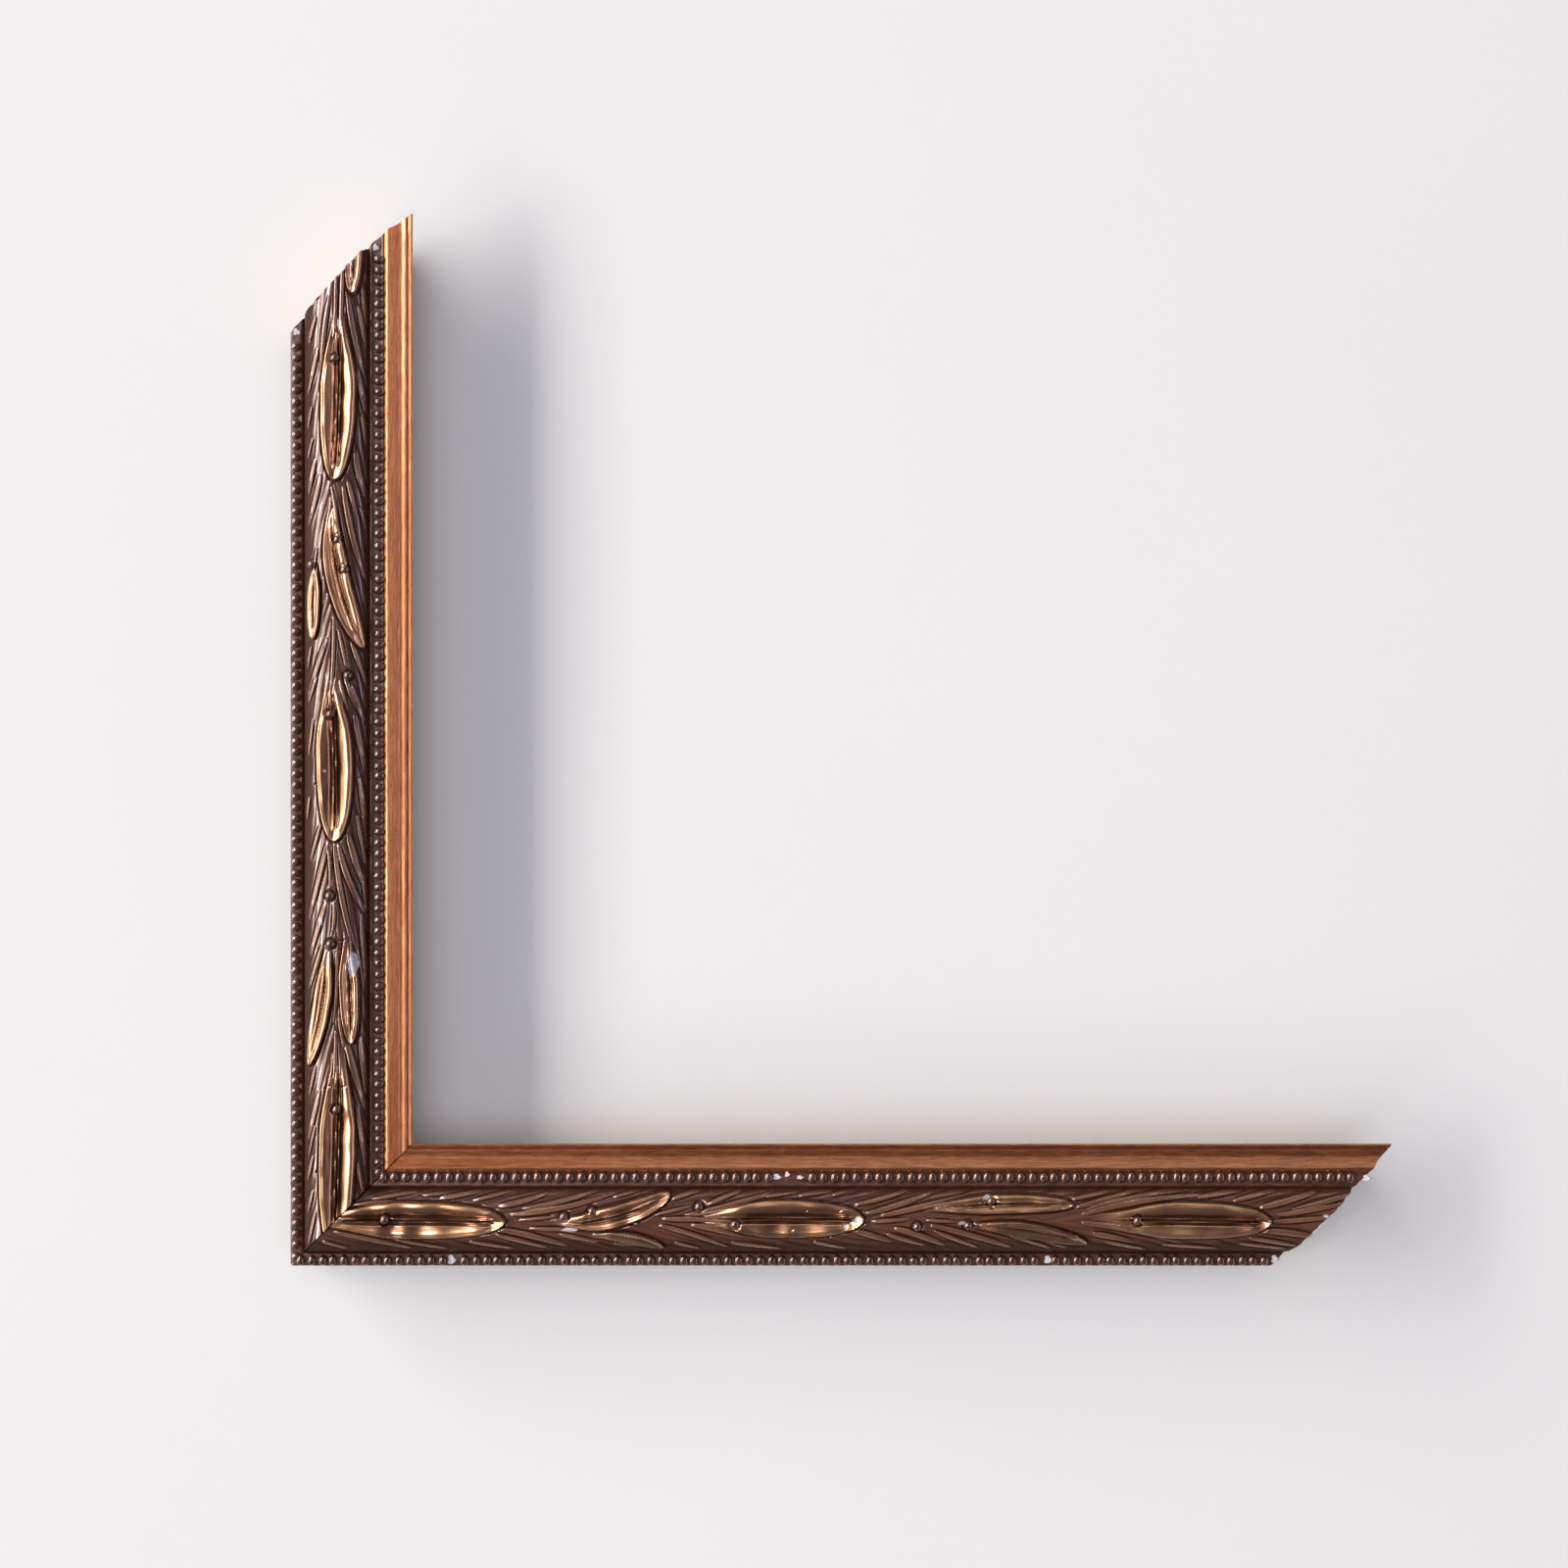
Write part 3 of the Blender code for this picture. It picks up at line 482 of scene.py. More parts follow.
def carve_field(rail, s, u, carving):
    """Height of the carved field at every point, with how gilded and how bare it is."""
    onward = rail.heading * s
    centre = FAN_MIDDLE + 0.5 * np.sin(s / 17 + rail.seed)
    fan = np.abs(u - centre) - FAN_SLANT * onward
    bend = grain(fan / 4.2, onward / 11, rail.seed)
    strokes = np.abs(np.sin(np.pi * (fan / STROKE_PITCH + 1.1 * bend))) ** 0.85
    strength = 0.45 + 0.75 * grain(fan / 3.0, onward / 8, rail.seed + 6)
    rise = carving.filler_rise / MM * strength * (strokes - 0.5)
    gilt = 0.04 * strokes
    for ridge in rail.ridges:
        carve_ridge(rail, ridge, s, u, rise, gilt, carving)
    for leaf in rail.leaves:
        carve_leaf(rail, leaf, s, u, rise, gilt, carving)

    for along, across in rail.berries:
        rise -= BERRY_HOLLOW * hill(np.hypot(s - along, u - across) - 0.95, 0.3)
    bare = np.zeros(s.shape)
    for seen in rail.flakes:
        along, across = true_place(rail, seen[0], seen[1])
        ragged = 0.45 * (grain(s / 0.7, u / 0.5, rail.seed + 8) - 0.5)
        patch = smooth((1.0 + ragged - np.hypot((s - along) / seen[2], (u - across) / seen[3])) / 0.12)
        rise -= FLAKE_DEPTH * patch
        bare = np.maximum(bare, patch)
    for seen in rail.pits:
        along, across = true_place(rail, *seen)
        rise -= PIT_DEPTH * hill(np.hypot(s - along, u - across), PIT_RADIUS)
    for seen in rail.cracks:
        along, low = true_place(rail, seen[0], seen[1])
        line = along + 0.5 * (grain(u / 0.9, u * 0, rail.seed + 9) - 0.5)
        depth = smooth((u - low) / 0.4) * smooth((low + seen[2] - seen[1] - u) / 0.4)
        rise -= CRACK_DEPTH * depth * hill(s - line, CRACK_WIDTH)

    rise += 0.04 * (grain(s / 2.2, u / 0.9, rail.seed + 2) - 0.5)
    edge = smooth((u - FIELD_START + 0.1) / 0.6) * smooth((FIELD_END - u + 0.15) / 0.35)
    outside = np.clip(FIELD_START - u, 0, None) * 2.6 + np.clip(u - FIELD_END, 0, None) * 1.4
    height = field_height(np.clip(u, FIELD_START, FIELD_END)) + rise * edge - outside
    return np.minimum(height, TALLEST), gilt * edge, bare


def sawn_end(rail, across, sizes, carving):
    """Where the rail's free end is, with the small breaks along the saw cut."""
    knots = np.arange(-0.4, 26.0, 0.65)
    random = np.random.default_rng(rail.seed + 40)
    depths = random.random(len(knots)) ** 2.2 * carving.chip_depth / MM
    breaks = np.interp(across, knots, depths) * smooth((24.6 - across) / 4.0)
    return rail.length(sizes) + across + np.interp(across, SAW_PLACES, rail.saw) - breaks


def mitre_end(across, height, sizes):
    """Where the rail starts at the mitre: tight low down, and half the gap back where it shows."""
    gap = MITRE_TOUCH + sizes.mitre_gap / MM * smooth((height - MITRE_OPENS) / MITRE_OPENING_RUN)
    return across + gap / math.sqrt(2)


# Making and finishing meshes


def add_alone(add, **settings):
    """Add a primitive or a light with nothing else selected, and give it back."""
    bpy.ops.object.select_all(action="DESELECT")
    add(**settings)
    return bpy.context.object


def add_sheet(cells_along, cells_across):
    """A flat grid to be shaped, with each vertex's share of the way along and across."""
    sheet = add_alone(
        bpy.ops.mesh.primitive_grid_add, x_subdivisions=cells_along, y_subdivisions=cells_across, size=1.0)
    flat = vertex_places(sheet)
    return sheet, flat[:, 0] + 0.5, flat[:, 1] + 0.5


def vertex_places(piece):
    """The places of a mesh's vertices, one row each."""
    flat = np.empty(len(piece.data.vertices) * 3)
    piece.data.vertices.foreach_get("co", flat)
    return flat.reshape(-1, 3)


def lay_in_place(piece, rail, s, u, z, sizes):
    """Move the vertices to their place on the rail, and keep s, u and z on them for the finishes."""
    corner_x = -(sizes.cross_length + sizes.rail_width) / 2
    corner_y = -(sizes.upright_length + sizes.rail_width) / 2
    along, across = (s * MM, u * MM) if rail is CROSS else (u * MM, s * MM)
    spots = np.stack([corner_x + along, corner_y + across, z * MM], 1)
    piece.data.vertices.foreach_set("co", spots.ravel().astype(np.float32))
    keep = piece.data.attributes.new("rail_place", "FLOAT_VECTOR", "POINT")
    keep.data.foreach_set("vector", (np.stack([s, u, z], 1) * MM).ravel().astype(np.float32))
    piece.data.update()


def keep_value(piece, name, values):
    """Store one number for each vertex under this name."""
    keep = piece.data.attributes.new(name, "FLOAT", "POINT")
    keep.data.foreach_set("value", values.astype(np.float32))


def edit(piece, *steps):
    """Run edit mode steps on the whole of a piece, and then turn its faces outwards."""
    bpy.ops.object.select_all(action="DESELECT")
    piece.select_set(True)
    bpy.context.view_layer.objects.active = piece
    bpy.ops.object.mode_set(mode="EDIT")
    bpy.ops.mesh.select_all(action="SELECT")
    for step in steps:
        step()
    bpy.ops.mesh.normals_make_consistent(inside=False)
    bpy.ops.object.mode_set(mode="OBJECT")


def finish_piece(piece, name, rail, materials, sharp_angle):
    """Name a piece, shade it, give it its finishes and let it stand for the rail's solid."""
    piece.name = piece.data.name = name
    for material in materials:
        piece.data.materials.append(material)
    piece.data.shade_smooth()
    piece.data.set_sharp_from_angle(angle=math.radians(sharp_angle))
    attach(piece, "root")
    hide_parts(rail.name)


def over_surroundings(height, share_along, share_across, cells, radius):
    """How far each point stands over the mean of a square round it, in mm."""
    column = np.rint(share_along * cells[0]).astype(int)
    row = np.rint(share_across * cells[1]).astype(int)
    table = np.zeros((cells[0] + 1, cells[1] + 1))
    table[column, row] = height
    padded = np.pad(table, radius + 1, mode="edge")
    total = padded.cumsum(0).cumsum(1)
    wide = 2 * radius + 1
    mean = total[wide:, wide:] - total[:-wide, wide:] - total[wide:, :-wide] + total[:-wide, :-wide]
    mean = mean[: table.shape[0], : table.shape[1]] / wide**2
    return (table - mean)[column, row]


def add_field(rail, sizes, carving, materials):
    """The carved field: a fine sheet raised by its strokes, with a skirt down into the rail."""
    cells = (round(rail.length(sizes) / FIELD_CELL), FIELD_CELLS_ACROSS)
    sheet, along, across = add_sheet(*cells)
    u = STRIP_START + (STRIP_END - STRIP_START) * across
    start, end = mitre_end(u, CROWN, sizes), sawn_end(rail, u, sizes, carving)
    s = start + (end - start) * along
    z, gilt, bare = carve_field(rail, s, u, carving)
    crumbs = 1.6 * (grain(u / 1.1, s / 9, rail.seed + 12) - 0.62)
    bare = np.maximum(bare, smooth((crumbs - (end - s)) / 0.15))

    # Dark wax stays where the carving lies low; the outer side and the slope to the sight edge are darkened
    # further as painted shade
    crown = field_height(np.clip(u, FIELD_START, FIELD_END))
    stands_and_side_shade = over_surroundings(z - crown, along, across, cells, 3) * 1.1
    stands_and_side_shade += np.clip(0.8 * (z - crown), -0.3, 0.4) - 0.14 + 0.25 * gilt
    # Painted shade: the outer side and, less so, the slope to the sight edge, darkened as if waxed
    stands_and_side_shade -= 0.4 * (1 - smooth((u - FIELD_START) / 1.5)) + 0.42 * (1 - smooth((u - FIELD_START) / 4.2))
    stands_and_side_shade -= 0.12 * smooth((u - 11.5) / 3.0)
    lay_in_place(sheet, rail, s, u, z, sizes)
    keep_value(sheet, "proud", np.clip(0.5 + stands_and_side_shade, 0.0, 1.0))
    keep_value(sheet, "gilt", np.clip(gilt, 0.0, 1.0))
    keep_value(sheet, "bare", bare)

    shaper = bmesh.new()
    shaper.from_mesh(sheet.data)
    place = shaper.verts.layers.float_vector["rail_place"]
    rim = [edge for edge in shaper.edges if edge.is_boundary]
    for item in bmesh.ops.extrude_edge_only(shaper, edges=rim)["geom"]:
        if isinstance(item, bmesh.types.BMVert):
            under = field_height(np.float64(np.clip(item[place][1] / MM, FIELD_START, FIELD_END)))
            item.co.z = min(item.co.z - SKIRT_LEAST * MM, (float(under) - SKIRT_DEPTH) * MM)
            item[place][2] = item.co.z
    rim = [edge for edge in shaper.edges if edge.is_boundary]
    bmesh.ops.holes_fill(shaper, edges=rim)
    shaper.to_mesh(sheet.data)
    shaper.free()
    edit(sheet)
    finish_piece(sheet, rail.name + "_field", rail, [materials["carving"]], 78.0)


def add_body(rail, sizes, carving, materials):
    """The plain rail under the carving, swept from mitre to sawn end and closed at both."""
    section = [(u, z, BODY_FINISHES.index(finish)) for finish, *places in SECTION for u, z in places]
    outline_u, outline_z, finishes_round = (np.array(row) for row in zip(*section))
    cells = (round(rail.length(sizes) / BODY_CELL), len(section) - 1)
    sheet, along, across = add_sheet(*cells)
    point = np.rint(across * cells[1]).astype(int)
    u, z, finish = outline_u[point], outline_z[point], finishes_round[point]
    start, end = mitre_end(u, z, sizes), sawn_end(rail, u, sizes, carving)
    s = start + (end - start) * along

    # The bronzed grounds are uneven, and the lip hardly so
    uneven = (finish == BODY_FINISHES.index("bronze")) & (z > 13.0)
    z += uneven * 0.12 * (grain(s / 1.3, u / 0.6, rail.seed + 3) - 0.55)
    on_lip = (finish == BODY_FINISHES.index("copper")) & (z < 16.3)
    z += on_lip * 0.03 * (grain(s / 14, u / 1.2, rail.seed + 4) - 0.5)
    z = np.where(outline_z[point] == 0.0, 0.0, z)
    lay_in_place(sheet, rail, s, u, z, sizes)

    corners = np.empty(len(sheet.data.polygons) * 4, int)
    sheet.data.polygons.foreach_get("vertices", corners)
    strip = point[corners].reshape(-1, 4).min(1)
    sheet.data.polygons.foreach_set("material_index", finishes_round[strip])
    edit(
        sheet,
        lambda: bpy.ops.mesh.remove_doubles(threshold=0.002 * MM),
        lambda: bpy.ops.mesh.fill_holes(sides=0),
        lambda: bpy.ops.mesh.select_all(action="SELECT"),
    )
    for polygon in sheet.data.polygons:
        if polygon.loop_total > 4:
            polygon.material_index = len(BODY_FINISHES)
    layers = [materials[name] for name in (*BODY_FINISHES, "end_grain")]
    finish_piece(sheet, rail.name + "_body", rail, layers, 35.0)


def add_copies(name, rail, pattern, copies, material, sharp_angle, sizes):
    """Join copies of a pattern, each at its place and size and turned about z, as one piece."""
    co = vertex_places(pattern)
    shapes = [tuple(p.vertices) for p in pattern.data.polygons]
    spots, faces = [], []
    for place, size, turn in copies:
        base = len(spots) * len(co)
        x, y, z = (co * size).T
        sine, cosine = math.sin(turn), math.cos(turn)
        spots.append(np.stack([x * cosine - y * sine, x * sine + y * cosine, z], 1) + place)
        faces += [tuple(base + v for v in shape) for shape in shapes]
    mesh = bpy.data.meshes.new(name)
    spots = np.concatenate(spots)
    mesh.from_pydata(spots.tolist(), [], faces)
    piece = bpy.data.objects.new(name, mesh)
    bpy.context.scene.collection.objects.link(piece)
    bpy.data.objects.remove(pattern, do_unlink=True)
    lay_in_place(piece, rail, spots[:, 0], np.maximum(spots[:, 1], WALL_SKIN), spots[:, 2], sizes)
    edit(piece)
    finish_piece(piece, name, rail, [material], sharp_angle)


def add_bead_row(rail, side, across, ground, sizes, carving, materials):
    """A row of hand-pressed beads, each a little out of line, with gaps where beads are lost."""
    random = np.random.default_rng(rail.seed + (60 if side == "outer" else 70))
    half = np.array([sizes.bead_length, sizes.bead_width, 2 * sizes.bead_height]) / MM / 2
    last = float(sawn_end(rail, np.array([across]), sizes, carving)[0])
    place = across + BEAD_START
    beads = []
    while place < last - BEAD_STOP:
        lost = any(abs(place - item[0]) < 0.9 and abs(across - item[1]) < 1.0 for item in rail.lost)
        jitter = random.normal(0.0, 1.0, 5)
        if not lost:
            size = half * (1 + 0.05 * jitter[2:5].clip(-1.5, 1.5))
            size[1] = min(size[1], BEAD_REACH)
            aside = 0.05 * float(jitter[1].clip(-1, 1))
            beads.append(((place + 0.12 * jitter[0], across + aside, ground - BEAD_SINK), size, 0.0))
        place += sizes.bead_pitch / MM
    bead = add_alone(bpy.ops.mesh.primitive_uv_sphere_add, segments=12, ring_count=6, radius=1.0)
    for vert in bead.data.vertices:
        vert.co.z = math.copysign(abs(vert.co.z) ** 0.6, vert.co.z)
    add_copies(f"{rail.name}_{side}_beads", rail, bead, beads, materials["bead"], 80.0, sizes)


def add_berries(rail, sizes, materials):
    """Round berries set in the carving, each on its own spot."""
    radius = sizes.berry_radius / MM
    random = np.random.default_rng(rail.seed + 80)
    berries = []
    for along, across in rail.berries:
        height = float(field_height(np.float64(across))) + 0.5 * radius
        size = radius * (1 + 0.06 * random.normal(0, 1, 3).clip(-1, 1))
        berries.append(((along, across, height), size, random.random()))
    berry = add_alone(bpy.ops.mesh.primitive_uv_sphere_add, segments=24, ring_count=12, radius=1.0)
    add_copies(rail.name + "_berries", rail, berry, berries, materials["bead"], 80.0, sizes)


def add_lost_beads(rail, sizes, materials):
    """Broken stumps of gesso where beads have come away."""
    random = np.random.default_rng(rail.seed + 90)
    stumps = []
    for along, across, *size in rail.lost:
        ground = OUTER_GROUND if across < FIELD_START else INNER_GROUND
        stumps.append(((along, across, ground), np.array(size), 0.0))
    stump = add_alone(bpy.ops.mesh.primitive_ico_sphere_add, subdivisions=3, radius=1.0)
    for vert in stump.data.vertices:
        turn = math.atan2(vert.co.y, vert.co.x)
        ragged = 0.86 + 0.14 * math.cos(3 * turn + 0.6) + 0.08 * math.cos(5 * turn)
        vert.co.xy *= ragged + 0.12 * (random.random() - 0.5)
        vert.co.z = min(vert.co.z, 0.5 + 0.25 * vert.co.x) + 0.1 * (random.random() - 0.5)
    add_copies(rail.name + "_broken_gesso", rail, stump, stumps, materials["gesso"], 30.0, sizes)


# Finishes

COLOURS_MIXED = {"data_type": "RGBA"}
EASED = {"interpolation_type": "SMOOTHSTEP"}
CLEAR_LACQUER = {"IOR": 1.5, "Coat IOR": 1.6}


def add_node(tree, kind, inputs=None, **settings):
    """Add one node with its settings, and set its inputs or link them to a node or a socket."""
    node = tree.nodes.new(kind)
    for name, value in settings.items():
        setattr(node, name, value)
    for name, value in (inputs or {}).items():
        if isinstance(value, bpy.types.Node):
            value = value.outputs[0]
        if isinstance(value, bpy.types.NodeSocket):
            tree.links.new(value, node.inputs[name])
        else:
            node.inputs[name].default_value = value
    return node


def new_material(name):
    """An empty node material, with its tree."""
    material = bpy.data.materials.new(name)
    material.use_nodes = True
    material.node_tree.nodes.clear()
    return material, material.node_tree


def rail_pattern(tree, length, width, detail=3.0, rough=0.55):
    """Noise that follows the rail: length along it and width across it are in mm."""
    place = add_node(tree, "ShaderNodeAttribute", attribute_name="rail_place").outputs["Vector"]
    scale = (1 / (length * MM), 1 / (width * MM), 1 / (width * MM))
    stretch = add_node(tree, "ShaderNodeMapping", {"Vector": place, "Scale": scale})
    return add_node(
        tree, "ShaderNodeTexNoise",
        {"Vector": stretch, "Scale": 1.0, "Detail": detail, "Roughness": rough})


def lay_colours(tree, colour, *layers):
    """Lay colours over one another, each by a share or by a pattern: (pattern, rise, colour).

    The rise is the values between which the pattern brings the colour out, and the least and most of
    it that shows. With no rise the pattern is the share itself.
    """
    for share, rise, over in layers:
        if rise:
            share = add_node(tree, "ShaderNodeMapRange", {0: share, **dict(enumerate(rise, 1))}, **EASED)
        mixed = add_node(tree, "ShaderNodeMix", {0: share, 6: colour, 7: over}, **COLOURS_MIXED)
        colour = mixed.outputs[2]
    return colour


def bronzed_carving(finish):
    """Bronze powder in lacquer over cast composition, toned with dark wax and rubbed back on the leaves.

    The metal powder gives a warm, directional gleam, the lacquer a sharper pale one over it.
    """
    material, tree = new_material("bronzed_composition")
    proud, gilt, bare = (
        add_node(tree, "ShaderNodeAttribute", attribute_name=name).outputs["Fac"]
        for name in ("proud", "gilt", "bare"))
    streaks = rail_pattern(tree, 7.0, 0.8)
    cloudy = rail_pattern(tree, 16.0, 6.0)
    specks = rail_pattern(tree, 0.5, 0.5, 2.0)

    thin_rub = add_node(tree, "ShaderNodeMapRange", {0: cloudy, 1: 0.25, 2: 0.6}, **EASED)
    rubbed = add_node(tree, "ShaderNodeMath", {0: gilt, 1: thin_rub}, operation="MULTIPLY")
    colour = lay_colours(
        tree, finish.umber,
        (streaks, (0.38, 0.62), finish.russet),
        (rubbed, None, finish.gold),
        (proud, (0.7, 1.0, 0.0, 0.15), finish.gold),
        # Patina where the mask is low: dark wax in the hollows, and painted shade on the field's outer side
        # and its slope to the sight edge
        (proud, (0.5, 0.12, 0.0, 0.9), finish.patina),
        (specks, (0.68, 0.75, 0.0, 0.5), finish.patina),
        (bare, None, finish.gesso))

    # Gilded leaves are the most metallic, and waxed hollows and bare gesso the dullest
    powder = add_node(tree, "ShaderNodeMapRange", {0: gilt, 1: 0.0, 2: 0.7, 3: 0.15, 4: 0.95}, **EASED)
    metal = add_node(tree, "ShaderNodeMath", {0: powder, 1: bare}, operation="SUBTRACT", use_clamp=True)
    brushed = add_node(tree, "ShaderNodeMapRange", {0: streaks, 1: 0.3, 2: 0.7, 3: 0.2, 4: 0.27}, **EASED)
    softened = add_node(tree, "ShaderNodeMapRange", {0: gilt, 1: 0.2, 2: 0.9, 3: 0.0, 4: 0.1}, **EASED)
    satin = add_node(tree, "ShaderNodeMath", {0: brushed, 1: softened}, operation="ADD")
    # The same mask dulls the lacquer, so the slopes with painted shade show no sheen either
    waxed = add_node(tree, "ShaderNodeMapRange", {0: proud, 1: 0.42, 2: 0.15}, **EASED)
    dull = add_node(tree, "ShaderNodeMath", {0: bare, 1: waxed}, operation="MAXIMUM")
    rough = add_node(tree, "ShaderNodeMath", {0: dull, 1: 0.35, 2: satin}, operation="MULTIPLY_ADD")
    coat = add_node(tree, "ShaderNodeMapRange", {0: dull, 1: 0.0, 2: 1.0, 3: 1.0, 4: 0.05}, **EASED)
    gleam = add_node(tree, "ShaderNodeMapRange", {0: dull, 1: 0.0, 2: 1.0, 3: 0.5, 4: 0.15}, **EASED)
    ripple = rail_pattern(tree, 4.0, 0.6, 3.0, 0.5)
    shader = add_node(tree, "ShaderNodeBsdfPrincipled", {
        "Base Color": colour, "Metallic": metal, "Roughness": rough, "Specular IOR Level": gleam,
        "Coat Weight": coat, "Coat Roughness": 0.08, **CLEAR_LACQUER,
        "Normal": add_node(tree, "ShaderNodeBump", {"Height": ripple, "Distance": 0.015 * MM})})
    add_node(tree, "ShaderNodeOutputMaterial", {"Surface": shader})
    return material


def bronzed_ground(finish, name, roughness, metallic, coat, shine):
    """The same bronze left dark on the plain grounds and beads, with wax in every joint."""
    material, tree = new_material(name)
    streaks = rail_pattern(tree, 3.0, 0.7)
    specks = rail_pattern(tree, 0.45, 0.45, 2.0)
    colour = lay_colours(
        tree, finish.patina,
        (streaks, (0.3, 0.75, 0.2, 0.8), finish.russet),
        (shine, None, finish.burnish),
        (specks, (0.55, 0.75, 0.0, 0.4), finish.russet))
    rough = add_node(
        tree, "ShaderNodeMapRange",
        {0: streaks, 1: 0.3, 2: 0.7, 3: roughness - 0.05, 4: roughness + 0.08}, **EASED)
    shader = add_node(tree, "ShaderNodeBsdfPrincipled", {
        "Base Color": colour, "Metallic": metallic, "Roughness": rough,
        "Coat Weight": coat, "Coat Roughness": 0.07, **CLEAR_LACQUER,
        "Normal": add_node(tree, "ShaderNodeBump", {"Height": specks, "Distance": 0.03 * MM})})
    add_node(tree, "ShaderNodeOutputMaterial", {"Surface": shader})
    return material


def copper_lip(finish):
    """Copper-toned bronze paint brushed along the plain lip, satin, with fine lines and specks of dirt.

    The brush lines scatter light across the rail and hardly along it, so a lip that runs with the
    window glows and the one that points at it stays dark.
    """
    material, tree = new_material("brushed_copper_bronze")
    brush = rail_pattern(tree, 4.5, 0.42, 2.0, 0.75)
    cloudy = rail_pattern(tree, 9.0, 1.6)
    dirt = rail_pattern(tree, 0.5, 0.45, 1.0)
    colour = lay_colours(
        tree, finish.copper_shade,
        (brush, (0.36, 0.64), finish.copper),
        (cloudy, (0.45, 0.72, 0.0, 0.45), finish.copper_shade),
        (dirt, (0.72, 0.76, 0.0, 0.8), finish.patina))
    rough = add_node(tree, "ShaderNodeMapRange", {0: cloudy, 1: 0.3, 2: 0.7, 3: 0.34, 4: 0.4}, **EASED)
    shader = add_node(tree, "ShaderNodeBsdfPrincipled", {
        "Base Color": colour, "Metallic": 0.95, "Roughness": rough, "IOR": 1.5,
        "Coat Weight": 0.7, "Coat Roughness": 0.12, "Anisotropic": 0.9, "Anisotropic Rotation": 0.25,
        "Tangent": add_node(tree, "ShaderNodeTangent", direction_type="UV_MAP", uv_map="UVMap"),
        "Normal": add_node(tree, "ShaderNodeBump", {"Height": brush, "Distance": 0.015 * MM})})
    add_node(tree, "ShaderNodeOutputMaterial", {"Surface": shader})
    return material


def matt_surface(name, pattern, colour, layers, roughness, depth):
    """A dull, uncoated surface: its pattern colours it and roughens it to this depth in mm.

    The pattern is the length, width and detail of its noise. Each layer is a further pattern, or None
    for that same one, with its rise and its colour.
    """
    material, tree = new_material(name)
    lines = rail_pattern(tree, *pattern)
    for other, rise, over in layers:
        share = rail_pattern(tree, *other) if other else lines
        colour = lay_colours(tree, colour, (share, rise, over))
    if isinstance(roughness, tuple):
        low, high = roughness
        roughness = add_node(
            tree, "ShaderNodeMapRange", {0: lines, 1: 0.3, 2: 0.7, 3: low, 4: high}, **EASED)
    shader = add_node(tree, "ShaderNodeBsdfPrincipled", {
        "Base Color": colour, "Roughness": roughness, "IOR": 1.5,
        "Normal": add_node(tree, "ShaderNodeBump", {"Height": lines, "Distance": depth * MM})})
    add_node(tree, "ShaderNodeOutputMaterial", {"Surface": shader})
    return material


def stained_wall(finish):
    """Dark water stain on the planed outer wall and under the lip, matt, with the wood's grain in it."""
    layers = [(None, (0.35, 0.65), finish.patina)]
    return matt_surface("stained_softwood", (30.0, 0.5, 4.0), finish.stain, layers, (0.5, 0.65), 0.04)


def bare_wood(finish, name, length, width):
    """Planed softwood left bare: pale, matt, with grain lines a few tenths of a millimetre wide."""
    dark = tuple(c * 0.62 for c in finish.wood[:3]) + (1.0,)
    layers = [
        (None, (0.35, 0.7), dark),
        ((length * 1.5, width * 6), (0.5, 0.75, 0.0, 0.35), dark),
    ]
    return matt_surface(name, (length, width, 4.0), finish.wood, layers, 0.72, 0.05)


def broken_gesso(finish):
    """Chalk and glue ground, laid bare where the finish has chipped: dead matt, cool white, crumbly."""
    layers = [(None, (0.4, 0.75, 0.0, 0.35), finish.wood)]
    return matt_surface("chipped_gesso", (0.5, 0.5, 4.0), finish.gesso, layers, 0.9, 0.08)


def pale_board(finish):
    """Smooth matt card under the sample, with a faint unevenness."""
    material, tree = new_material("matt_card")
    place = add_node(tree, "ShaderNodeTexCoord").outputs["Object"]
    cloud = add_node(tree, "ShaderNodeTexNoise", {"Vector": place, "Scale": 9.0, "Detail": 3.0})
    shade = tuple(c * 0.97 for c in finish.board[:3]) + (1.0,)
    shader = add_node(tree, "ShaderNodeBsdfPrincipled", {
        "Base Color": lay_colours(tree, finish.board, (cloud, None, shade)),
        "Roughness": 0.85, "IOR": 1.5, "Specular IOR Level": 0.2})
    add_node(tree, "ShaderNodeOutputMaterial", {"Surface": shader})
    return material


FINISHES = {}


def finishes(context):
    """The object's materials, made once."""
    if not FINISHES:
        finish = context.scene.moulding_finish
        FINISHES["carving"] = bronzed_carving(finish)
        FINISHES["bronze"] = bronzed_ground(finish, "bronzed_gesso_ground", 0.42, 0.15, 0.15, 0.1)
        FINISHES["bead"] = bronzed_ground(finish, "burnished_bronze_bead", 0.2, 0.3, 1.0, 0.3)
        FINISHES["copper"] = copper_lip(finish)
        FINISHES["stain"] = stained_wall(finish)
        FINISHES["wood"] = bare_wood(finish, "bare_softwood", 26.0, 0.4)
        FINISHES["end_grain"] = bare_wood(finish, "softwood_end_grain", 0.5, 0.5)
        FINISHES["gesso"] = broken_gesso(finish)
    return FINISHES


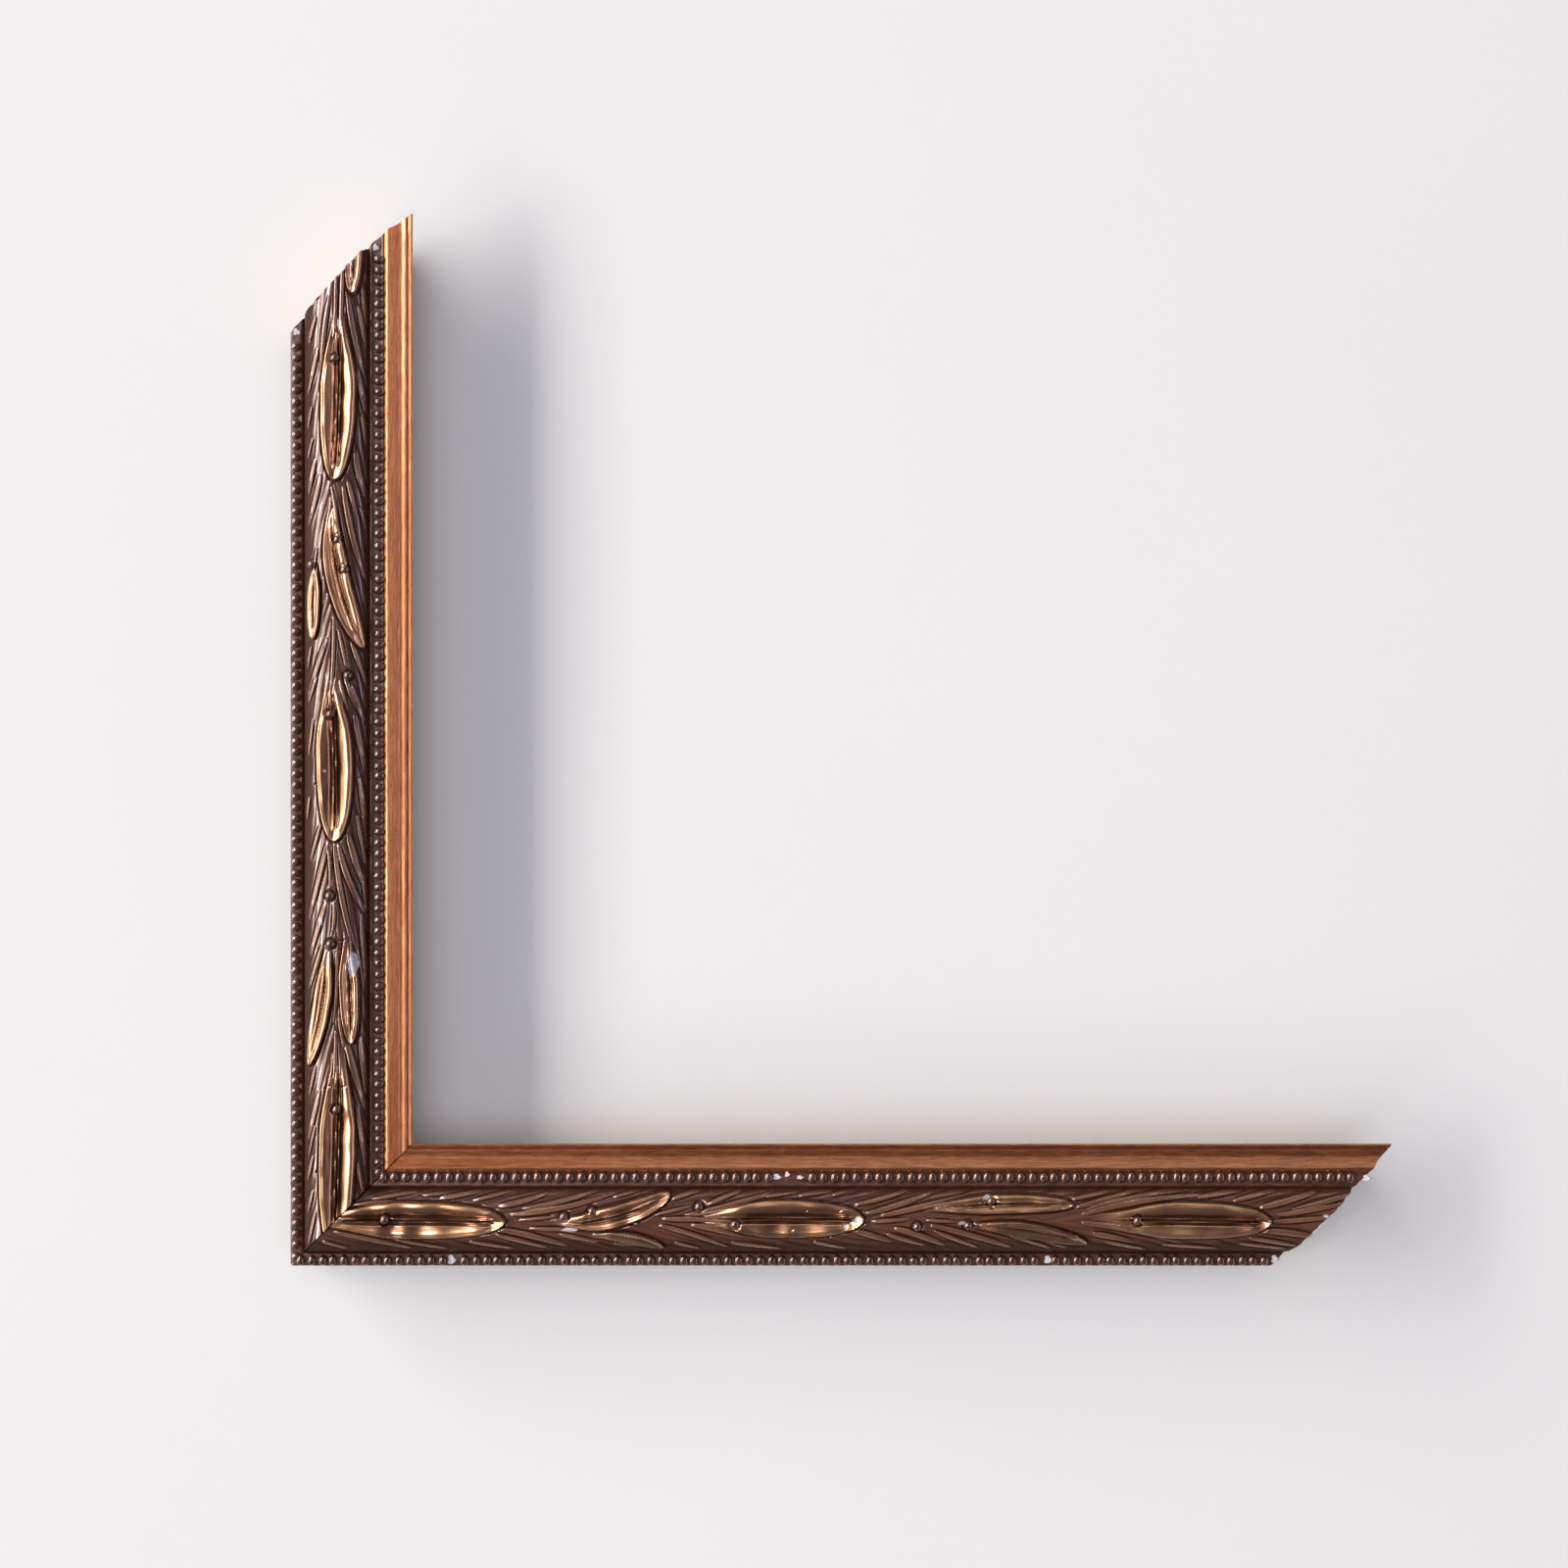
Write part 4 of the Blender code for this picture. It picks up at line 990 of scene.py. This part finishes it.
# Studio, in metres. Each light: its place, what it faces, width and height, colour, and what it leaves
# out. The cards show in the gloss alone, and the soft lights keep out of it.
MIDDLE = (0.0, 0.0, 0.0)
LIGHTS = {
    "key_window": ((-4.0, 1.6, 1.85), (0.0, 1.6, 0.0), (7.4, 1.05), "fffaf4", None),
    "north_window": ((-3.9, 5.0, 2.9), MIDDLE, (3.0, 1.0), "fbf4ff", "visible_diffuse"),
    "overhead_soft": ((0.1, 0.1, 2.2), MIDDLE, (2.4, 2.4), "f3f2fb", "visible_glossy"),
    "back_card": ((-1.2, 0.95, 2.0), MIDDLE, (0.8, 0.9), "f1ebf6", "visible_diffuse"),
    "north_card": ((0.0, 3.2, 1.05), MIDDLE, (2.6, 0.5), "f4f0fa", "visible_diffuse"),
    "south_window": ((-3.0, -3.0, 1.8), MIDDLE, (2.0, 1.0), "fffaf4", "visible_glossy"),
    "west_card": ((-1.5, 0.1, 1.9), MIDDLE, (1.8, 0.9), "fdf6f0", "visible_diffuse"),
    "right_strip": ((2.4, -0.2, 1.12), MIDDLE, (3.4, 0.5), "e0d6f4", "visible_diffuse"),
}
BOARD_SIZE, BOARD_DROP = 4.0, -0.05 * MM
CAMERA_PLACE = (-11.6 * MM, -9.0 * MM, 494.0 * MM)


def add_area_light(name, place, target, size, colour, left_out, power):
    """A soft rectangular light that faces a point."""
    lamp = add_alone(bpy.ops.object.light_add, type="AREA", location=place)
    lamp.name = lamp.data.name = name
    lamp.data.shape = "RECTANGLE"
    lamp.data.size, lamp.data.size_y = size
    lamp.data.energy = power
    lamp.data.color = hex_colour(colour)[:3]
    aim = Vector(target) - Vector(place)
    lamp.rotation_euler = aim.to_track_quat("-Z", "Y").to_euler()
    if left_out:
        setattr(lamp, left_out, False)


class MOULDING_OT_rail_bodies(bpy.types.Operator):
    """Add the two plain lengths: stained wall, bronzed grounds, copper lip, bare rabbet and back"""

    bl_idname = "moulding.rail_bodies"
    bl_label = "Rail Bodies"

    def execute(self, context):
        for rail in (CROSS, UPRIGHT):
            add_body(rail, context.scene.moulding_sizes, context.scene.moulding_carving, finishes(context))
        return {"FINISHED"}


class MOULDING_OT_carved_fields(bpy.types.Operator):
    """Add the crowned fields with their leaves, blades and fine strokes"""

    bl_idname = "moulding.carved_fields"
    bl_label = "Carved Fields"

    def execute(self, context):
        for rail in (CROSS, UPRIGHT):
            add_field(rail, context.scene.moulding_sizes, context.scene.moulding_carving, finishes(context))
        return {"FINISHED"}


class MOULDING_OT_bead_rows(bpy.types.Operator):
    """Add the two rows of beads on each rail, with the broken ones"""

    bl_idname = "moulding.bead_rows"
    bl_label = "Bead Rows"

    def execute(self, context):
        sizes, carving = context.scene.moulding_sizes, context.scene.moulding_carving
        for rail in (CROSS, UPRIGHT):
            add_bead_row(rail, "outer", OUTER_BEADS, OUTER_GROUND, sizes, carving, finishes(context))
            add_bead_row(rail, "inner", INNER_BEADS, INNER_GROUND, sizes, carving, finishes(context))
            add_lost_beads(rail, sizes, finishes(context))
        return {"FINISHED"}


class MOULDING_OT_berries(bpy.types.Operator):
    """Add the berries that sit among the leaves"""

    bl_idname = "moulding.berries"
    bl_label = "Berries"

    def execute(self, context):
        for rail in (CROSS, UPRIGHT):
            add_berries(rail, context.scene.moulding_sizes, finishes(context))
        return {"FINISHED"}


class MOULDING_OT_studio(bpy.types.Operator):
    """Add the pale board, the soft lights and the camera straight above"""

    bl_idname = "moulding.studio"
    bl_label = "Studio"

    def execute(self, context):
        studio = context.scene.moulding_studio
        board = add_alone(
            bpy.ops.mesh.primitive_plane_add, size=BOARD_SIZE, location=(0.0, 0.0, BOARD_DROP))
        board.name = board.data.name = "board"
        bpy.ops.object.transform_apply(location=True, rotation=True, scale=True)
        board.data.materials.append(pale_board(context.scene.moulding_finish))

        for name, light in LIGHTS.items():
            add_area_light(name, *light, getattr(studio, name))
        world = bpy.data.worlds.new("dim_room")
        world.use_nodes = True
        background = world.node_tree.nodes["Background"]
        background.inputs["Color"].default_value = hex_colour("e2dcf0")
        background.inputs["Strength"].default_value = studio.room_light
        context.scene.world = world
        context.scene.view_settings.view_transform = "Standard"

        bpy.ops.object.camera_add(location=CAMERA_PLACE, rotation=(0.0, 0.0, 0.0))
        camera = context.object
        camera.name = camera.data.name = "camera_above"
        camera.data.angle = studio.camera_angle
        camera.data.clip_start = 10 * MM
        context.scene.camera = camera
        return {"FINISHED"}


class MOULDING_PT_sidebar(bpy.types.Panel):
    """Lists the pieces of the moulding corner and their sizes"""

    bl_idname = "MOULDING_PT_sidebar"
    bl_label = "Carved Moulding Corner"
    bl_space_type = "VIEW_3D"
    bl_region_type = "UI"
    bl_category = "Moulding"

    def draw(self, context):
        for group_name in GROUPS:
            group = getattr(context.scene, group_name)
            box = self.layout.box()
            for name in group.bl_rna.properties.keys():
                if name not in {"rna_type", "name"}:
                    box.prop(group, name)
        for step in STEPS:
            self.layout.operator(step.bl_idname)


STEPS = (
    MOULDING_OT_rail_bodies, MOULDING_OT_carved_fields, MOULDING_OT_bead_rows, MOULDING_OT_berries,
    MOULDING_OT_studio,
)
GROUPS = {
    "moulding_sizes": MOULDING_PG_sizes,
    "moulding_carving": MOULDING_PG_carving,
    "moulding_finish": MOULDING_PG_finish,
    "moulding_studio": MOULDING_PG_studio,
}


def register():
    """Make the groups, the steps and the panel known to Blender."""
    for item in (*GROUPS.values(), *STEPS, MOULDING_PT_sidebar):
        bpy.utils.register_class(item)
    for name, group in GROUPS.items():
        setattr(bpy.types.Scene, name, bpy.props.PointerProperty(type=group))


def unregister():
    """Take them away again."""
    for name in GROUPS:
        delattr(bpy.types.Scene, name)
    for item in reversed((*GROUPS.values(), *STEPS, MOULDING_PT_sidebar)):
        bpy.utils.unregister_class(item)


def main():
    """Make every piece and the stage."""
    register()
    bpy.ops.moulding.rail_bodies()
    bpy.ops.moulding.carved_fields()
    bpy.ops.moulding.bead_rows()
    bpy.ops.moulding.berries()
    bpy.ops.moulding.studio()


if __name__ == "__main__":
    main()
